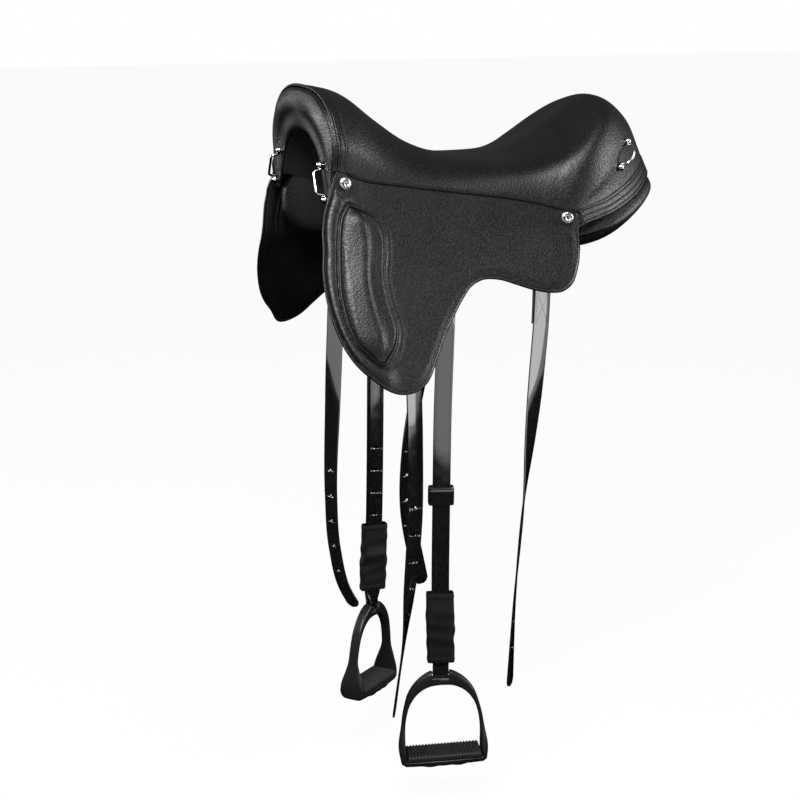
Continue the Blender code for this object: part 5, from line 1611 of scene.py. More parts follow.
    def block_grid(self) -> tuple[Array, Array, Array, Array]:
        """The knee block's plan: its (y, z) places, the share along and across, and its width.

        Returns:
            The places, the shares along and across, and each row's width.
        """
        shape = self.shape
        rows, columns = 120, 80
        front = along(shape.block_front, rows)
        rear = along(shape.block_rear, rows)
        width = np.linalg.norm(rear - front, axis=1)[:, None]
        across = clustered(columns, 0.6)[None, :]
        share = (self.block_gap_in + across * (width - 2 * self.block_gap_in)) / width
        flat = front[:, None] * (1 - share[..., None]) + rear[:, None] * share[..., None]
        middle = flat.mean(axis=1, keepdims=True)
        length = np.linspace(0, 1, rows)[:, None]
        inward = middle.mean(axis=0) - middle
        inward = inward / np.linalg.norm(inward, axis=-1, keepdims=True)
        flat = flat + inward * self.block_gap_in * np.abs(2 * length - 1)[..., None] ** 8
        return flat, length, across, width

    def block_height(self, length: Array, across: Array, width: Array) -> Array:
        """The knee block's height: rise x (lobes x even + 0.72 x plain x (1 - even)) x ends x size.

        The lobes are a curve over the share across with two crests, and plain is sin(pi s)^0.55;
        even, ends and size fall towards the block's two tips.

        Args:
            length: share along the block, one column.
            across: share across it, one row.
            width: the block's width at each row.

        Returns:
            The height off the flap at each place.
        """
        lobes = through(*zip(*self.lobes), across.ravel(), calm=True)[None]
        plain = np.sin(math.pi * across) ** 0.55
        even = bump(length, 0.5, 0.62) ** 0.35
        ends = (smooth_step(length, -0.005, 0.16) * smooth_step(1 - length, -0.005, 0.2)) ** 0.5
        size = smooth_step(width, 2, 44) ** 0.5
        crown = lobes * even + 0.72 * plain * (1 - even)
        return self.block_gap + 0.9 + self.block_rise * crown * ends * size

    def build_block(self) -> None:
        """The knee block with a piped edge and a row of stitches round it."""
        shape = self.shape
        label = shape.side.label
        body = shape.side.body("flap")
        flat, length, across, width = self.block_grid()
        outer, _ = shape.points(flat, self.block_height(length, across, width))
        inner, _ = shape.points(flat, self.block_gap + 0.045 * shape.curl)
        pad = sheet_surface(outer, inner, 4, 0.4).object(f"knee_pad_{label}", 70)
        place_piece(pad, Finish.LEATHER, body, [f"knee_block_{label}"])
        line, normal = shape.points(shape.block_loop(0.7), 1.7)
        welt = round_cord(line, 1.3, normal[0], 14, closed=True)
        place_piece(welt.object(f"knee_welt_{label}"), Finish.BAND, body)
        outside = shape.block_loop(self.block_stitch, 400)
        line, normal = shape.points(np.concatenate([outside, outside[:1]]), -0.8)
        place_piece(stitches(f"knee_stitches_{label}", line, normal), Finish.THREAD, body)


@dataclass
class Studs:
    """Cup washers and socket screws that hold the flaps."""

    shape: FlapForm
    radius: float = 9.5
    height: float = 4.0

    def build(self) -> None:
        """Turns each washer and screw on the flap's normal."""
        label = self.shape.side.label
        for place, spot in zip(("front", "rear"), self.shape.studs):
            point, normal = self.shape.points(np.array([spot]))
            axis = normal[0]
            start = point[0] + axis * (GAP + 0.5)
            r, h = self.radius, self.height
            cup = [(3.5, 0.0), (r - 0.3, 0.0), (r, 0.3), (r - 0.15, 1.1), (r - 0.7, 2.2), (r - 1.6, 3.2),
                   (r - 2.6, h - 0.15), (r - 3.1, h), (6.25, h - 0.05), (6.0, h - 0.5), (5.85, 1.6),
                   (5.6, 1.4), (3.5, 1.4)]
            washer = washer_body(start, axis, cup, 56)
            place_piece(washer.object(f"stud_cup_{place}_{label}", 40), Finish.PLATED, "saddle",
                        [f"stud_washer_{place}_{label}"])
            head = start + axis * 1.7
            profile = [(3.0, -15.0), (3.0, 0.0), (5.0, 0.0), (5.2, 0.25), (5.2, 3.9), (5.0, 4.4),
                       (4.6, 4.6), (0.3, 4.6)]
            screw = lathe(head, axis, profile, 48).object(f"stud_bolt_{place}_{label}", 40)
            socket = lathe(head + axis * 1.4, axis, [(3.0, 0.0), (3.0, 6.0)], 6)
            socket = socket.object("cut_socket")
            screw = cut_holes(screw, [socket])
            place_piece(screw, Finish.CHROME, "saddle", [f"stud_screw_{place}_{label}"])


@dataclass
class FootLoop:
    """A bent wire loop between two screwed eyes."""

    name: str
    top: Array
    low: Array
    top_out: Array
    low_out: Array
    wire: float = 1.8
    stand: float = 12.0
    seat: float = 0.8
    eye_radius: float = 5.5
    eye_thick: float = 3.8

    def build(self) -> None:
        """Carries a circle along the rounded path, and turns the two eyes and their screws."""
        run = unit(self.low - self.top)
        seat_top = self.top + self.top_out * self.seat
        seat_low = self.low + self.low_out * self.seat
        lift = self.wire
        corner_top = seat_top + self.top_out * self.stand + run * 9
        corner_low = seat_low + self.low_out * self.stand - run * 9
        path = np.array([
            seat_top + self.top_out * lift + run * 3.5, seat_top + self.top_out * lift + run * 6,
            corner_top - self.top_out * 2.5 - run * 0.8, corner_top + run * 1.5, corner_low - run * 1.5,
            corner_low - self.low_out * 2.5 + run * 0.8, seat_low + self.low_out * lift - run * 6,
            seat_low + self.low_out * lift - run * 3.5])
        steps = run_of(path)
        smooth = through(steps, path, np.linspace(0, steps[-1], 90), calm=True)
        for _ in range(5):
            smooth[1:-1] = (smooth[:-2] + 2 * smooth[1:-1] + smooth[2:]) / 4
        aside = unit(np.cross(run, self.top_out))
        angles = ring_angles(18)
        tangent = unit(np.gradient(smooth, axis=0))
        other = np.cross(tangent, aside)
        rings = smooth[:, None] + self.wire * (np.cos(angles)[:, None] * aside
                                               + np.sin(angles)[:, None] * other[:, None])
        made = tube_surface(rings)
        for seat, out in ((seat_top, self.top_out), (seat_low, self.low_out)):
            r, t = self.eye_radius, self.eye_thick
            eye = [(2.8, 0.0), (r - 0.8, 0.0), (r - 0.1, 0.8), (r, t / 2), (r - 0.1, t - 0.9), (r - 0.9, t),
                   (2.9, t), (2.7, t - 0.4)]
            ring = washer_body(seat, out, eye, 36)
            made.add(np.concatenate(ring.points), np.array(ring.faces))
        place_piece(made.object(self.name + "_wire", 45), Finish.CHROME, "saddle", [self.name])
        for tag, seat, out in (("top", seat_top, self.top_out), ("low", seat_low, self.low_out)):
            head = seat + out * (self.eye_thick + GAP)
            profile = [(2.1, -9.0), (2.1, 0.0), (4.1, 0.0), (4.2, 0.2), (3.9, 1.0), (3.2, 1.8),
                       (2.1, 2.25), (0.3, 2.4)]
            screw = lathe(head, out, profile, 36).object(f"{self.name}_bolt_{tag}", 45)
            place_piece(screw, Finish.CHROME, "saddle", [f"{self.name}_screw_{tag}"])


@dataclass
class Hanging:
    """The line that a stirrup leather hangs on, with its turn about its own length."""

    side: Side
    bar_x: float = 122.5
    bar_z: float = -2.0
    drops: tuple = (0.0, 100.0, 300.0, 440.0, 560.0, 640.0, 1000.0)

    @property
    def back(self) -> tuple:
        """How far back the line lies at each drop."""
        if self.side is Side.LEFT:
            return (-11.0, -11.5, -14.5, -14.5, -13.5, -11.5, -11.5)
        return (-21.0, -21.0, -21.0, -21.5, -23.5, -26.0, -26.0)

    def turn(self, z: Any) -> Array:
        """The turn at this height, in radians."""
        full, start, end = (-16.0, 40.0, 200.0) if self.side is Side.LEFT else (42.0, 607.0, 628.0)
        return math.radians(full) * smooth_step(-np.asarray(z, float), start, end)

    def y(self, z: Any) -> Array:
        """How far back the centre line lies at this height."""
        drop = np.clip(-np.asarray(z, float), self.drops[0], self.drops[-1])
        return through(self.drops, self.back, drop.ravel(), calm=True).reshape(drop.shape)

    def shift(self, y: Any) -> Array:
        """How far the centre line moves sideways where it moves back."""
        return (-0.287 if self.side is Side.LEFT else 0.0) * (self.back[0] - y)

    def at(self, offsets: Any, z: Any, sideways: Any = 0.0) -> tuple[Array, Array, Array]:
        """Points off the centre line at these heights, with the directions out and across.

        Args:
            offsets: how far out of the line.
            z: heights.
            sideways: how far across the strap.

        Returns:
            The points and the two directions.
        """
        z = np.asarray(z, float)
        turn = self.turn(z)
        across = np.stack([-np.sin(turn), np.cos(turn), np.zeros_like(turn)], axis=-1)
        out = np.stack([np.cos(turn), np.sin(turn), np.zeros_like(turn)], axis=-1) * self.side.value
        y = self.y(z)
        centre = np.stack([self.bar_x * self.side.value + self.shift(y), y, z], axis=-1)
        off = np.broadcast_to(offsets, z.shape)[..., None]
        aside = np.broadcast_to(sideways, z.shape)[..., None]
        return centre + out * off + across * aside, out, across


def strap_surface(spine: Array, face: Array, width: Any, thick: float) -> Surface:
    """A flat strap: a rounded oblong carried along a spine, its broad side square to face.

    Each ring is spine + across x (width / 2 x a + b) + face x c, for each (a, b, c) of the oblong.

    Args:
        spine: points of the strap's middle line.
        face: the way the broad side looks at each point.
        width: one number or one for each point.
        thick: of the strap.

    Returns:
        The capped strap.
    """
    run = unit(np.gradient(spine, axis=0))
    across = unit(np.cross(run, np.broadcast_to(face, spine.shape)))
    face = np.cross(across, run)
    width = np.broadcast_to(width, len(spine))[:, None]
    corner = 0.42 * thick
    turns = np.radians([0, 22, 45, 68, 90])
    outline = []
    for sign_a, sign_b, start in ((1, 1, 0), (-1, 1, 90), (-1, -1, 180), (1, -1, 270)):
        for turn in turns + math.radians(start):
            outline.append((sign_a, corner * (math.cos(turn) - sign_a),
                            sign_b * (thick / 2 - corner) + corner * math.sin(turn)))
    rings = [spine + across * (width / 2 * a + b) + face * c for a, b, c in outline]
    return tube_surface(np.stack(rings, axis=1))


def resampled(line: Array, count: int) -> Array:
    """A smooth, evenly spaced line through the given points, rounded a little at its bends."""
    steps = run_of(line)
    return evenly(through(steps, line, np.linspace(0, steps[-1], count * 3), calm=True), count)


@dataclass
class StirrupSet:
    """One stirrup: its leather, hole strap, keeper and sleeve, and the iron that hangs in them."""

    hanging: Hanging
    thick: float = 3.0
    leather_width: float = 26.0
    tail_width: float = 23.0
    ply: float = 3.9
    leather_end: float = -586.0
    sleeve_length: float = 108.0
    bar_radius: float = 3.1
    hole_heights: tuple = (-372, -408, -444, -480, -514)

    @property
    def eye_z(self) -> float:
        """Height of the iron's eye bar."""
        return -655.0 if self.hanging.side is Side.LEFT else -632.0

    @property
    def sleeve_low(self) -> float:
        """Height of the sleeve's lower end."""
        return self.eye_z + (18.0 if self.hanging.side is Side.LEFT else 26.0)

    def build(self) -> None:
        """Makes the straps, the two loops of leather round them, and the iron."""
        self.build_leather()
        self.build_hole_strap()
        self.build_keeper()
        self.build_sleeve()
        Iron(self.hanging, self.eye_z, self.tail_width).build()

    def strap(self, offsets: Array, heights: Array, width: float, count: int) -> Surface:
        """A strap along offsets and heights off the hanging line.

        Args:
            offsets: out of the line, in order.
            heights: one for each offset.
            width: of the strap.
            count: of rings.

        Returns:
            The capped strap.
        """
        points, _, across = self.hanging.at(offsets, heights)
        line = resampled(points, count)
        knots = run_of(points)
        broad = unit(sampled(np.linspace(0, knots[-1], count), knots, across))
        return strap_surface(line, np.cross(broad, np.gradient(line, axis=0)), width, self.thick)

    def build_leather(self) -> None:
        """The outer ply, which goes over the bar and ends behind it."""
        side = self.hanging.side
        radius = self.bar_radius + GAP + self.thick / 2
        angles = np.linspace(math.pi, 0, 24)
        down = np.linspace(-20, self.leather_end, 60)
        offsets = np.concatenate([-self.ply * np.ones(4), radius * np.cos(angles), self.ply * np.ones(60)])
        heights = np.concatenate([[-52, -40, -27, -14], self.hanging.bar_z + radius * np.sin(angles), down])
        leather = self.strap(offsets, heights, self.leather_width, 320)
        place_piece(leather.object(f"leather_strap_{side.label}", 60), Finish.PATENT, side.body("leather"),
                    [f"stirrup_leather_{side.label}"])
        for number, aside in enumerate((-9.6, 9.6)):
            z = np.linspace(-60, self.leather_end + 6, 300)
            line, out, _ = self.hanging.at(self.ply + self.thick / 2 + 0.05, z, aside)
            row = stitches(f"leather_stitches_{number}_{side.label}", line, out, 4.4, 3.0, 0.32)
            place_piece(row, Finish.THREAD, side.body("leather"))

    def build_hole_strap(self) -> None:
        """The inner ply with its holes, which turns under the iron's eye bar and back up."""
        side = self.hanging.side
        ply = self.ply
        low = self.sleeve_low
        angles = np.linspace(math.pi, 2 * math.pi, 18)
        turning = np.linspace(low - 3, self.eye_z + 4, 6)
        long_ply = np.concatenate([np.linspace(-58, low - 0.5, 60), turning])
        short_ply = np.concatenate([turning[::-1], np.linspace(low - 0.5, self.leather_end - 4, 8)])
        offsets = np.concatenate([np.full(len(long_ply), -ply), ply * np.cos(angles),
                                  np.full(len(short_ply), ply)])
        heights = np.concatenate([long_ply, self.eye_z + ply * np.sin(angles), short_ply])
        strap = self.strap(offsets, heights, self.tail_width, 330)
        made = strap.object(f"holed_strap_{side.label}", 60)
        cutters = []
        for number, z in enumerate(self.hole_heights):
            ends, _, _ = self.hanging.at(np.array([-ply - 4.0, -ply + 4.0]), np.array([z, z], float))
            cutters.append(punch(f"cut_tail_{number}", ends[0], ends[1]))
        made = cut_holes(made, cutters)
        place_piece(made, Finish.PATENT, side.body("leather"), [f"hole_strap_{side.label}"])

    def oblong(self, half_width: float, half_depth: float, corner: float, count: int = 64) -> Array:
        """Points round an oblong with rounded corners: the superellipse of power 0.34.

        Args:
            half_width: half its width.
            half_depth: half its depth.
            corner: the corners' radius.
            count: of points.

        Returns:
            (across, out) of each point.
        """
        angles = ring_angles(count)
        wide = squared(np.cos(angles), 0.34)
        deep = squared(np.sin(angles), 0.34)
        fit = 1 - 0.02 * corner / max(half_depth, 1)
        return np.stack([wide * half_width * fit, deep * half_depth * fit], axis=1)

    def loop_of(self, heights: Array, half: tuple[float, float], wall: float, swell: Callable) -> Surface:
        """A tube of oblong section round the plies: outer rings, and the same less the wall.

        Args:
            heights: of the rings, from the top down.
            half: half of the oblong's width and depth.
            wall: thickness of the leather.
            swell: how far the outside stands out at a height and an angle.

        Returns:
            The closed surface.
        """
        grids = []
        for inset in (0.0, wall):
            outline = self.oblong(half[0] - inset, half[1] - inset, 3.4)
            z = np.broadcast_to(heights[:, None], (len(heights), len(outline)))
            angle = ring_angles(len(outline))[None]
            grow = swell(heights[:, None], angle) if inset == 0 else np.zeros_like(z)
            scale = 1 + grow / np.linalg.norm(outline, axis=1)[None]
            across = outline[None, :, 0] * scale
            depth = outline[None, :, 1] * scale
            points, _, _ = self.hanging.at(depth, z, across)
            grids.append(points)
        outer, inner = grids
        rows, columns = outer.shape[:2]
        made = Surface()
        made.add(outer, quad_grid(rows, columns, closed=True))
        made.add(inner, quad_grid(rows, columns, closed=True)[:, ::-1])
        ring = np.arange(columns)
        for start in (0, (rows - 1) * columns):
            a, b = ring + start, np.roll(ring, -1) + start
            quads = np.stack([a, b, b + rows * columns, a + rows * columns], axis=1)
            made.faces += (quads[:, ::-1] if start == 0 else quads).tolist()
        return made

    def build_keeper(self) -> None:
        """The patent keeper: a short loop with pressed lines near its edges."""
        side = self.hanging.side
        middle = -380.0 if side is Side.LEFT else -215.0
        heights = middle + np.linspace(13.5, -13.5, 24)

        def swell(z: Array, _angle: Array) -> Array:
            """Rounds the two edges and presses two shallow lines."""
            off = np.abs(z - middle)
            return -0.7 * smooth_step(off, 11.5, 13.5) - 0.35 * np.exp(-((off - 10) / 0.8) ** 2)
        loop = self.loop_of(heights, (18.9, 8.1), 2.2, swell)
        place_piece(loop.object(f"keeper_loop_{side.label}", 60), Finish.PATENT, side.body("keeper"),
                    [f"leather_keeper_{side.label}"])

    def build_sleeve(self) -> None:
        """The soft sleeve over the buckle: a waist, slack folds and a turned hem at each end."""
        side = self.hanging.side
        low = self.sleeve_low
        heights = np.linspace(low + self.sleeve_length, low, 110)
        near = side is Side.LEFT

        def swell(z: Array, angle: Array) -> Array:
            """Folds as sines that cross the sleeve at a slant, strongest away from its hems.

            Args:
                z: heights.
                angle: round the sleeve.

            Returns:
                How far the outside stands out.
            """
            share = (z - low) / self.sleeve_length
            body = bump(share, 0.48, 0.5)
            folds = np.sin(share * 17 + angle * 1.0) * 0.55 + np.sin(share * 29 - angle * 2 + 1.3) * 0.40
            deep = np.sin(share * 11 + angle * 3 + 0.6) * 0.45
            amount = 1.0 if near else 1.5
            hems = 0.55 * bump(share, 0.045, 0.045) + 0.55 * bump(share, 0.955, 0.045)
            waist = -0.9 * bump(share, 0.36 if near else 0.62, 0.2)
            return body * (folds + deep) * amount + hems + waist + 0.9 * body - 0.4 * (1 - body)
        tube = self.loop_of(heights, (20.5, 8.4), 1.5, swell)
        place_piece(tube.object(f"sleeve_soft_{side.label}", 70), Finish.SLEEVE, side.body("sleeve"),
                    [f"leather_sleeve_{side.label}"])


@dataclass
class Iron:
    """A stirrup iron: its frame, the bar in its eye and its rubber tread."""

    hanging: Hanging
    eye_z: float
    strap_width: float
    inner: float = 114.0
    height: float = 146.0
    branch: float = 8.0
    arch_depth: float = 7.5
    base_thick: float = 11.0
    base_depth: float = 47.0
    top_rise: float = 3.5
    section_power: float = 0.42
    arch_count: int = 90
    base_count: int = 25
    eye_bar: float = 2.0
    rib_gaps: int = 23
    rib_height: float = 2.2
    tread_thick: float = 6.0

    @property
    def tilt(self) -> float:
        """How far the iron leans in its own plane."""
        return 2.7 if self.hanging.side is Side.LEFT else -4.0

    @property
    def eye_half(self) -> float:
        """Half the width of the eye's opening."""
        return self.strap_width / 2 + 2.0

    def build(self) -> None:
        """Makes the frame, the bar in its eye and the tread."""
        self.build_frame()
        self.build_eye_bar()
        self.build_tread()

    def placed(self, tilt_deg: float) -> Callable[[Array], Array]:
        """What puts points drawn about the iron's own centre plane on the saddle.

        A point p goes to (p - eye) x lean + eye, and then to that x turn + shift.

        Args:
            tilt_deg: how far the iron leans in its own plane.

        Returns:
            A function from points to points.
        """
        hanging = self.hanging
        turn = float(hanging.turn(self.eye_z))
        cosine, sine = math.cos(turn), math.sin(turn)
        frame = np.array([[cosine, sine, 0], [-sine, cosine, 0], [0, 0, 1]])
        tilt = math.radians(tilt_deg)
        cosine, sine = math.cos(tilt), math.sin(tilt)
        lean = np.array([[1, 0, 0], [0, cosine, sine], [0, -sine, cosine]])
        eye = np.array([0, 0, self.eye_z])
        y = float(hanging.y(self.eye_z))
        shift = np.array([hanging.bar_x * hanging.side.value + float(hanging.shift(y)), y, 0])

        def place(points: Array) -> Array:
            """Leans, turns and shifts the points."""
            leaning = (np.asarray(points, float) - eye) @ lean + eye
            return leaning @ frame + shift
        return place

    def outlines(self) -> tuple[Array, Array]:
        """The inner and outer outlines of half the frame, as (across, up) from its top's middle.

        Returns:
            The two outlines, each with the arch's points and then the base's.
        """
        half, low = self.inner / 2, -self.height
        wide = half + self.branch
        inner = [(0, -22), (18, -24), (half - 23, -32.5), (half - 10, -49), (half - 3, -71), (half, -98),
                 (half, low + self.base_thick)]
        outer = [(0, 0), (14, -1), (wide - 36, -9), (wide - 17.5, -30), (wide - 7.5, -60),
                 (wide - 2.5, -91), (wide + 1.5, low + 19), (wide - 0.5, low + 4)]
        base = np.linspace(1, 0, self.base_count + 1)[1:, None]
        sill = np.hstack([base * half, np.full_like(base, low + self.base_thick)])
        bottom = np.hstack([base * (wide - 4), np.full_like(base, low)])
        bottom[:, 1] -= 2.0 * bump(bottom[:, 0], 22, 13)
        return (np.concatenate([along(inner, self.arch_count), sill]),
                np.concatenate([along(outer, self.arch_count), bottom]))

    def depths(self) -> tuple[Array, Array]:
        """Half the depth from front to rear, along the inner and the outer outline.

        Returns:
            One number for each point of either outline.
        """
        share = np.concatenate([np.linspace(0, 1, self.arch_count), np.ones(self.base_count)])
        spread = smooth_step(share, 0.62, 0.97)
        inner = self.arch_depth + (self.base_depth / 2 - self.arch_depth) * spread
        outer = inner * (1 - 0.4 * spread)
        outer[self.arch_count:] = inner[self.arch_count:] * np.linspace(0.66, 0.9, self.base_count)
        return inner, outer

    def build_frame(self) -> None:
        """A rounded section carried once round the foot opening, wide at its base.

        A ring is middle + radial x c in the frame's plane and reach x s aside, with c and s the
        cosine and sine pressed to a power, and reach between the two depths.
        """
        side = self.hanging.side
        inside, outside = self.outlines()
        mirror = slice(len(inside) - 2, 0, -1)
        inside, outside = (np.concatenate([line, line[mirror] * np.array([-1, 1])])
                           for line in (inside, outside))
        depth, outer_depth = (np.concatenate([line, line[mirror]]) for line in self.depths())
        angles = ring_angles(36)
        across = squared(np.cos(angles), self.section_power)
        aside = squared(np.sin(angles), self.section_power)
        middle = (inside + outside) / 2
        radial = (outside - inside) / 2
        share_out = (across + 1) / 2
        reach = depth[:, None] * (1 - share_out) + outer_depth[:, None] * share_out
        plane = middle[:, None] + radial[:, None] * across[None, :, None]
        top_z = self.eye_z + self.top_rise
        rings = np.stack([reach * aside, plane[..., 0], plane[..., 1] + top_z], axis=-1)
        rings = self.placed(self.tilt)(rings.reshape(-1, 3)).reshape(rings.shape)
        made = tube_surface(rings, joined=True).object(f"iron_{side.label}", 60)
        corners = box_corners((-14, -self.eye_half, self.eye_z - 7.6), (14, self.eye_half, self.eye_z + 9))
        made = cut_holes(made, [block("cut_eye", self.placed(0)(corners))])
        place_piece(made, Finish.IRON, side.body("iron"), [f"stirrup_iron_{side.label}"])

    def build_eye_bar(self) -> None:
        """The bar that the strap turns under."""
        side, width = self.hanging.side, self.eye_half
        ends = self.placed(0)(np.array([(0, -width - 2, self.eye_z), (0, width + 2, self.eye_z)]))
        profile = [(self.eye_bar, 0.0), (self.eye_bar, 2 * width + 4)]
        bar = lathe(ends[0], ends[1] - ends[0], profile, 24)
        place_piece(bar.object(f"iron_eye_bar_{side.label}"), Finish.IRON, side.body("iron"))

    def build_tread(self) -> None:
        """The rubber tread: a height over its plan, with ribs between a rim at front and rear.

        The ribs are 0.5 + 0.9 cos(2 pi (v + half) / pitch + pi), cut off below 0 and above 1.
        """
        side = self.hanging.side
        half = self.inner / 2 - 2.0
        base = self.eye_z + self.top_rise - self.height + self.base_thick + GAP
        deep = self.base_depth / 2 - 1.5
        pitch = 2 * half / self.rib_gaps
        v = np.linspace(-half, half, (self.rib_gaps + 1) * 10)
        u = deep * (2 * clustered(40, 0.6) - 1)
        ribs = np.clip(0.5 + 0.9 * np.cos(FULL_TURN * (v[None, :] + half) / pitch + math.pi), 0, 1)
        within = smooth_step(deep - np.abs(u), 0.6, 2.4)[:, None]
        edge = smooth_step(half - np.abs(v), 0.0, 1.6)[None, :]
        edge = edge * smooth_step(deep - np.abs(u), 0.0, 1.2)[:, None]
        height = base + self.tread_thick + 0.8 * edge + self.rib_height * ribs * within
        grid_u, grid_v = np.meshgrid(u, v, indexing="ij")
        place = self.placed(self.tilt)
        upper, under = (place(np.stack([grid_u, grid_v, z], axis=-1).reshape(-1, 3))
                        for z in (height, np.full_like(grid_u, base)))
        shape = (len(u), len(v), 3)
        tread = sheet_surface(upper.reshape(shape), under.reshape(shape), 4, 0.1)
        tread = tread.object(f"tread_{side.label}", 50)
        place_piece(tread, Finish.RUBBER, side.body("iron"), [f"stirrup_tread_{side.label}"])


def punch(name: str, start: Array, end: Array, radius: float = 2.2) -> bpy.types.Object:
    """A round cutter between two points."""
    length = float(np.linalg.norm(end - start))
    return lathe(start, end - start, [(radius, 0.0), (radius, length)], 24).object(name)


@dataclass
class Billet:
    """A girth billet: folded over its eye on the tree, hanging with its own bends and twist."""

    label: str
    x: float
    top_z: float
    hang: tuple
    holes: tuple
    lean: float
    width: float = 25.0
    thick: float = 3.0
    fold_z: float = -136.0
    eye_radius: float = 2.6
    hole_pitch: float = 41.0

    @property
    def side(self) -> Side:
        """The side it hangs on."""
        return Side.LEFT if self.label.endswith("left") else Side.RIGHT

    @property
    def body(self) -> str:
        """The body it moves with."""
        return self.side.body(self.label.split("_")[0] + "_billet")

    def route(self, line: Array) -> tuple[Array, Array]:
        """The strap's middle line over the eye and down, and the way its width goes.

        A point lies at x + offset - lean x billet_lean(z): the offset is a half circle over the eye
        and falls to nothing as the two plies part.

        Args:
            line: (z, y, twist in degrees) of the hanging part.

        Returns:
            The points and the directions across.
        """
        radius = self.eye_radius + 0.35 + self.thick / 2
        angles = np.radians(np.linspace(180, 0, 16))
        fold_z = np.linspace(self.fold_z, self.top_z - 12, 12)
        fold_y = np.interp(-fold_z, -line[:, 0], line[:, 1])
        blend = smooth_step(-line[:, 0], -line[0, 0], -self.fold_z + 70)
        offsets = np.concatenate([np.full(12, -radius + 0.3), radius * np.cos(angles),
                                  [radius, radius * 0.8], (radius - 0.6) * (1 - blend) - 0.35 * blend])
        heights = np.concatenate([fold_z, self.top_z + radius * np.sin(angles),
                                  [self.top_z - 6, self.top_z - 14], line[:, 0]])
        along_y = np.concatenate([fold_y, np.full(18, line[0, 1]), line[:, 1]])
        twist = np.radians(np.concatenate([np.zeros(30), line[:, 2] * blend]))
        lean = self.lean * billet_lean(heights)
        points = np.stack([self.side.value * (self.x + offsets - lean), along_y, heights], axis=1)
        return points, np.stack([-np.sin(twist), np.cos(twist), np.zeros_like(twist)], axis=1)

    def punches(self, line: Array) -> list[bpy.types.Object]:
        """A cutter for each hole, square to the strap where it is.

        Args:
            line: (z, y, twist in degrees) of the hanging part.

        Returns:
            The cutters.
        """
        cutters = []
        above, count_holes = self.holes
        for number in range(count_holes):
            z = line[-1, 0] + above + number * self.hole_pitch
            out = self.x - 0.35 - self.lean * float(billet_lean(np.array(z)))
            centre = np.array([self.side.value * out, np.interp(-z, -line[:, 0], line[:, 1]), z])
            turn = math.radians(np.interp(-z, -line[:, 0], line[:, 2]))
            reach = np.array([math.cos(turn), math.sin(turn), 0]) * 6
            cutters.append(punch(f"cut_billet_{number}", centre - reach, centre + reach))
        return cutters

    def build(self) -> None:
        """Carries the strap over the eye and down its line, rounds its tip and punches its holes."""
        line = along(np.array(self.hang, float), 120)
        points, across = self.route(line)
        steps = run_of(points)
        keep = np.concatenate([[True], np.diff(steps) > 0.05])
        points, across, steps = points[keep], across[keep], steps[keep]
        where = np.linspace(0, steps[-1], 340)
        spine = through(steps, points, where, calm=True)
        broad = unit(sampled(where, steps, across))
        tip = 0.36 + 0.64 * np.sqrt(np.clip((steps[-1] - where) / 9, 0, 1))
        face = np.cross(broad, np.gradient(spine, axis=0))
        strap = strap_surface(spine, face, self.width * np.minimum(1, tip), self.thick)
        made = cut_holes(strap.object(f"billet_{self.label}", 60), self.punches(line))
        place_piece(made, Finish.PATENT, self.body, [f"girth_billet_{self.label}"])
        self.build_cross(spine, broad)

    def build_cross(self, spine: Array, broad: Array) -> None:
        """The box and cross of stitches that holds the folded end, on the outer ply.

        Args:
            spine: the strap's middle line.
            broad: the way its width goes.
        """
        hanging = np.arange(len(spine)) > 60
        outer = np.flatnonzero((spine[:, 2] < -88) & (spine[:, 2] > -134) & hanging)
        part = spine[outer]
        wide = broad[outer]
        face = unit(np.cross(wide, np.gradient(part, axis=0)))
        face = np.where(face[:, :1] * self.side.value < 0, -face, face)
        share = np.linspace(-1, 1, len(part))[:, None]
        edge = np.full_like(share, 9.4)
        for tag, aside in {"a": share * 8.5, "b": -share * 8.5, "c": edge, "d": -edge}.items():
            line = part + wide * aside + face * (self.thick / 2 + 0.1)
            row = stitches(f"billet_stitches_{tag}_{self.label}", line, face, 3.4, 2.3, 0.34)
            place_piece(row, Finish.THREAD, self.body)


def billet_lean(z: Array) -> Array:
    """Share of a billet's lean towards the horse at a height, balanced above by the other way."""
    drop = -np.asarray(z, float)
    return smooth_step(drop, 480, 680) - 0.14 * smooth_step(drop, 0, 120)


@dataclass
class Inside:
    """The nodes that stay as the frame has them, with their finishes."""

    nodes: dict

    def build(self) -> None:
        """Dresses the tree, the steel under it and the metal of the bars and buckles."""
        finishes = {"tree": Finish.MOULDING, "gullet_plate": Finish.STEEL}
        for side in Side:
            finishes[f"stirrup_bar_{side.label}"] = Finish.STEEL
            finishes[f"bar_catch_{side.label}"] = Finish.STEEL
            finishes[f"stirrup_buckle_{side.label}"] = Finish.CHROME
        for name, finish in finishes.items():
            finish.dress(self.nodes[name])
            LOG.info("%s: kept from the frame", name)


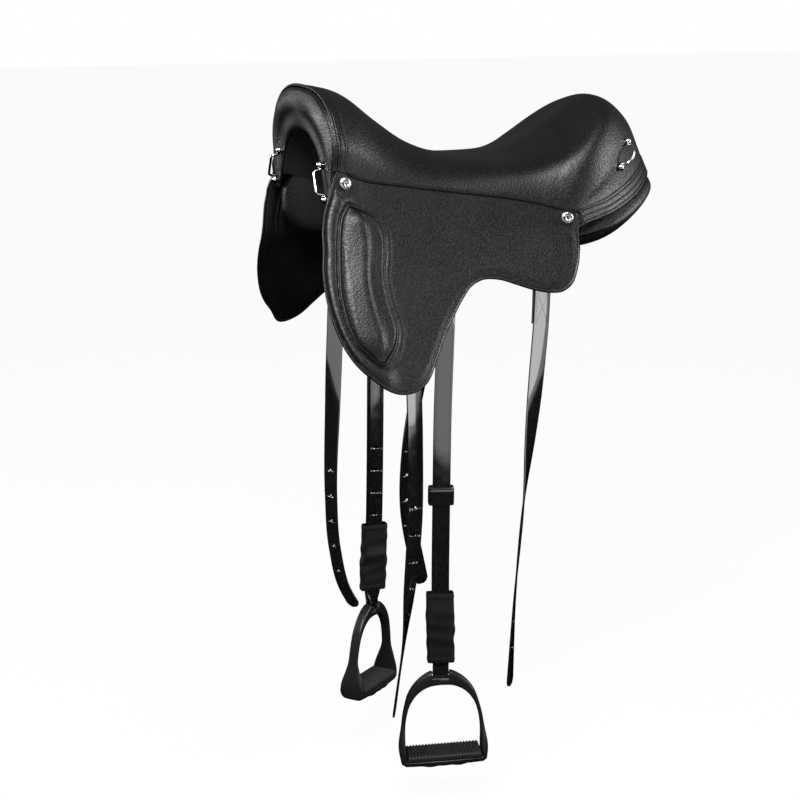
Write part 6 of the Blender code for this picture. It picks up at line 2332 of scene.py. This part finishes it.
@dataclass
class Studio:
    """Floor, soft lamps, pale surroundings and the camera at the photograph's angle."""

    azimuth: float = 67.86
    pitch: float = 14.51
    roll: float = 0.47
    place: tuple = (2.477, -1.038, 0.426)
    lens: float = 83.7
    white: float = 0.95
    ambient: float = 0.05
    mirrored: float = 0.05
    # painted reflection: strength, start along x and rise of the floor glow that only glossy rays see
    bright: float = 0.75
    bright_from: float = 1.85
    bright_rate: float = 6.0

    def build(self) -> None:
        """Sets up everything that isn't the saddle."""
        self.build_floor()
        self.build_world()
        self.build_lamps()
        self.build_camera()
        bpy.context.scene.view_settings.view_transform = "Standard"

    def build_floor(self) -> None:
        """A wide pale floor below the irons; its far part glows white to glossy rays only, a painted
        reflection.
        """
        mesh = bpy.data.meshes.new("floor")
        reach, height = 14.0, -0.86
        corners = [(a * reach, b * reach, height) for a, b in ((-1, -1), (1, -1), (1, 1), (-1, 1))]
        mesh.from_pydata(corners, [], [(0, 1, 2, 3)])
        floor = bpy.data.objects.new("floor", mesh)
        bpy.context.scene.collection.objects.link(floor)
        g = Graph.material("floor")
        g.set(Base_Color=(0.86, 0.86, 0.86, 1.0), Roughness=0.9, Specular_IOR_Level=0.1)
        white, black = (g.glow("ShaderNodeEmission", strength) for strength in (1.0, 0.0))
        # painted reflection: glossy rays see the floor white beyond the start along x and black nearer;
        # diffuse rays get 0.3 of the black
        far = g.node("ShaderNodeSeparateXYZ", {}, {"Vector": g.place}, "X") - self.bright_from
        far = g.node("ShaderNodeClamp", {}, {"Value": far * self.bright_rate})
        mirrored = g.mix(g.ray("Glossy") * far * self.bright, black, white)
        thrown = g.mix(g.ray("Glossy") + g.ray("Diffuse") * 0.3, Socket(g, g.shader.outputs[0]), mirrored)
        g.surface(g.mix((g.ray("Camera") + g.ray("Transmission")) * self.white, thrown, white))
        mesh.materials.append(g.owner)

    def build_world(self) -> None:
        """White to the camera, dim in reflections, and a faint cool light on the saddle."""
        world = bpy.data.worlds.new("studio")
        bpy.context.scene.world = world
        g = Graph(world)
        soft = g.node("ShaderNodeBackground", {}, {"Color": (0.9, 0.95, 1.0, 1.0), "Strength": self.ambient})
        white = g.glow("ShaderNodeBackground", 1.0)
        seen = g.ray("Camera") + g.ray("Transmission") + g.ray("Glossy") * self.mirrored
        g.surface(g.mix(seen, soft, white))

    def lamp(self, name: str, place: tuple, aim: tuple, size: tuple, power: float) -> None:
        """A soft rectangular lamp turned towards a point.

        Args:
            name: the lamp's name.
            place: where it stands.
            aim: what it looks at.
            size: its two sides in metres.
            power: in watts.
        """
        data = bpy.data.lights.new(name, "AREA")
        data.shape = "RECTANGLE"
        data.size, data.size_y = size
        data.energy = power
        lamp = bpy.data.objects.new(name, data)
        bpy.context.scene.collection.objects.link(lamp)
        lamp.location = place
        lamp.rotation_mode = "QUATERNION"
        lamp.rotation_quaternion = (Vector(aim) - Vector(place)).to_track_quat("-Z", "Y")

    def build_lamps(self) -> None:
        """A key and a high lamp on the near side, one ahead, one low on the near side, one behind."""
        aim = (0.1, 0.0, -0.1)
        size = (0.8, 1.1)
        self.lamp("key", (1.37, -0.95, 1.72), aim, size, 92)
        self.lamp("high", (1.25, 0.22, 2.04), aim, size, 12)
        self.lamp("front", (-1.35, -1.92, 0.42), aim, (1.3, 0.8), 30)
        self.lamp("low", (2.11, 0.98, -0.58), aim, size, 5)
        self.lamp("rear", (0.73, 2.26, 0.33), aim, size, 30)

    def build_camera(self) -> None:
        """The camera, from its turn, its tilt down and its small roll."""
        az, tilt, roll = (math.radians(v) for v in (self.azimuth, self.pitch, self.roll))
        back = np.array([math.sin(az) * math.cos(tilt), -math.cos(az) * math.cos(tilt), math.sin(tilt)])
        level = np.array([math.cos(az), math.sin(az), 0.0])
        up = np.cross(back, level)
        right = math.cos(roll) * level + math.sin(roll) * up
        top = -math.sin(roll) * level + math.cos(roll) * up
        data = bpy.data.cameras.new("camera")
        data.lens = self.lens
        data.sensor_width = 36.0
        data.clip_start, data.clip_end = 0.05, 60.0
        camera = bpy.data.objects.new("camera", data)
        bpy.context.scene.collection.objects.link(camera)
        rows = [[right[k], top[k], back[k], self.place[k]] for k in range(3)] + [[0, 0, 0, 1]]
        camera.matrix_world = Matrix(rows)
        bpy.context.scene.camera = camera


def rear_loop_ends(form: SeatForm, side: Side) -> list[tuple[Array, Array]]:
    """Where a rear loop's eyes sit on the seat, and which way they face.

    Args:
        form: the seat.
        side: of the saddle.

    Returns:
        A point and a unit normal for the upper eye and for the lower one.
    """
    found = []
    for share, across in ((0.32, 0.437), (0.57, 0.594)):
        station = form.stations[10] * (1 - share) + form.stations[11] * share
        point = form.points(np.array([station]), np.array([across]))[0, 0]
        found.append((side.mirror(point), side.mirror(form.exact_normal(station, across))))
    return found


BILLETS = (
    Billet("front_left", 112.5, 26.0,
           ((8, -62, 0), (-150, -58, 5), (-300, -52, 8), (-430, -52, 8), (-520, -58, 25),
            (-600, -64, 58), (-722, -79, 62)), (79, 7), 7.5),
    Billet("rear_left", 129.8, -6.0,
           ((-20, 134, 0), (-140, 134, 0), (-230, 128.5, 6), (-300, 123, 26), (-400, 115, 62),
            (-550, 104, 60), (-690, 99, 45)), (62, 5), 0.0),
    Billet("front_right", 112.5, 26.0,
           ((8, -85, 0), (-170, -91, -10), (-290, -95, -40), (-440, -98, -62), (-530, -92, -62),
            (-590, -79, -60), (-625, -61, -55)), (62, 5), 12.0),
    Billet("rear_right", 127.6, -6.0,
           ((-20, 122, 0), (-120, 98, 8), (-250, 60, 12), (-380, 37, 10), (-470, 35, 0),
            (-610, 61, -8)), (62, 5), 0.0),
)


def main() -> None:
    """Builds every sub-assembly in order and sets up the studio."""
    logging.basicConfig(level=logging.INFO, format="%(name)s: %(message)s")
    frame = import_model()
    nodes = frame["nodes"]
    form = SeatForm()
    SeatTop(form).build()
    pommel = Pommel(form)
    pommel.build()
    PanelPads(form).build()
    for side in Side:
        shape = FlapForm(form, side)
        Flap(shape).build()
        Studs(shape).build()
        upper, lower = (side.mirror((x, pommel.leg_y, z)) for x, z in ((88.0, 100.0), (108.0, 55.0)))
        out = np.array([0.0, -1.0, 0.0])
        FootLoop(f"front_loop_{side.label}", upper, lower, out, out).build()
        (top, top_out), (low, low_out) = rear_loop_ends(form, side)
        FootLoop(f"rear_loop_{side.label}", top, low, top_out, low_out).build()
        StirrupSet(Hanging(side)).build()
    for billet in BILLETS:
        billet.build()
    Inside(nodes).build()
    Studio().build()


if __name__ == "__main__":
    main()
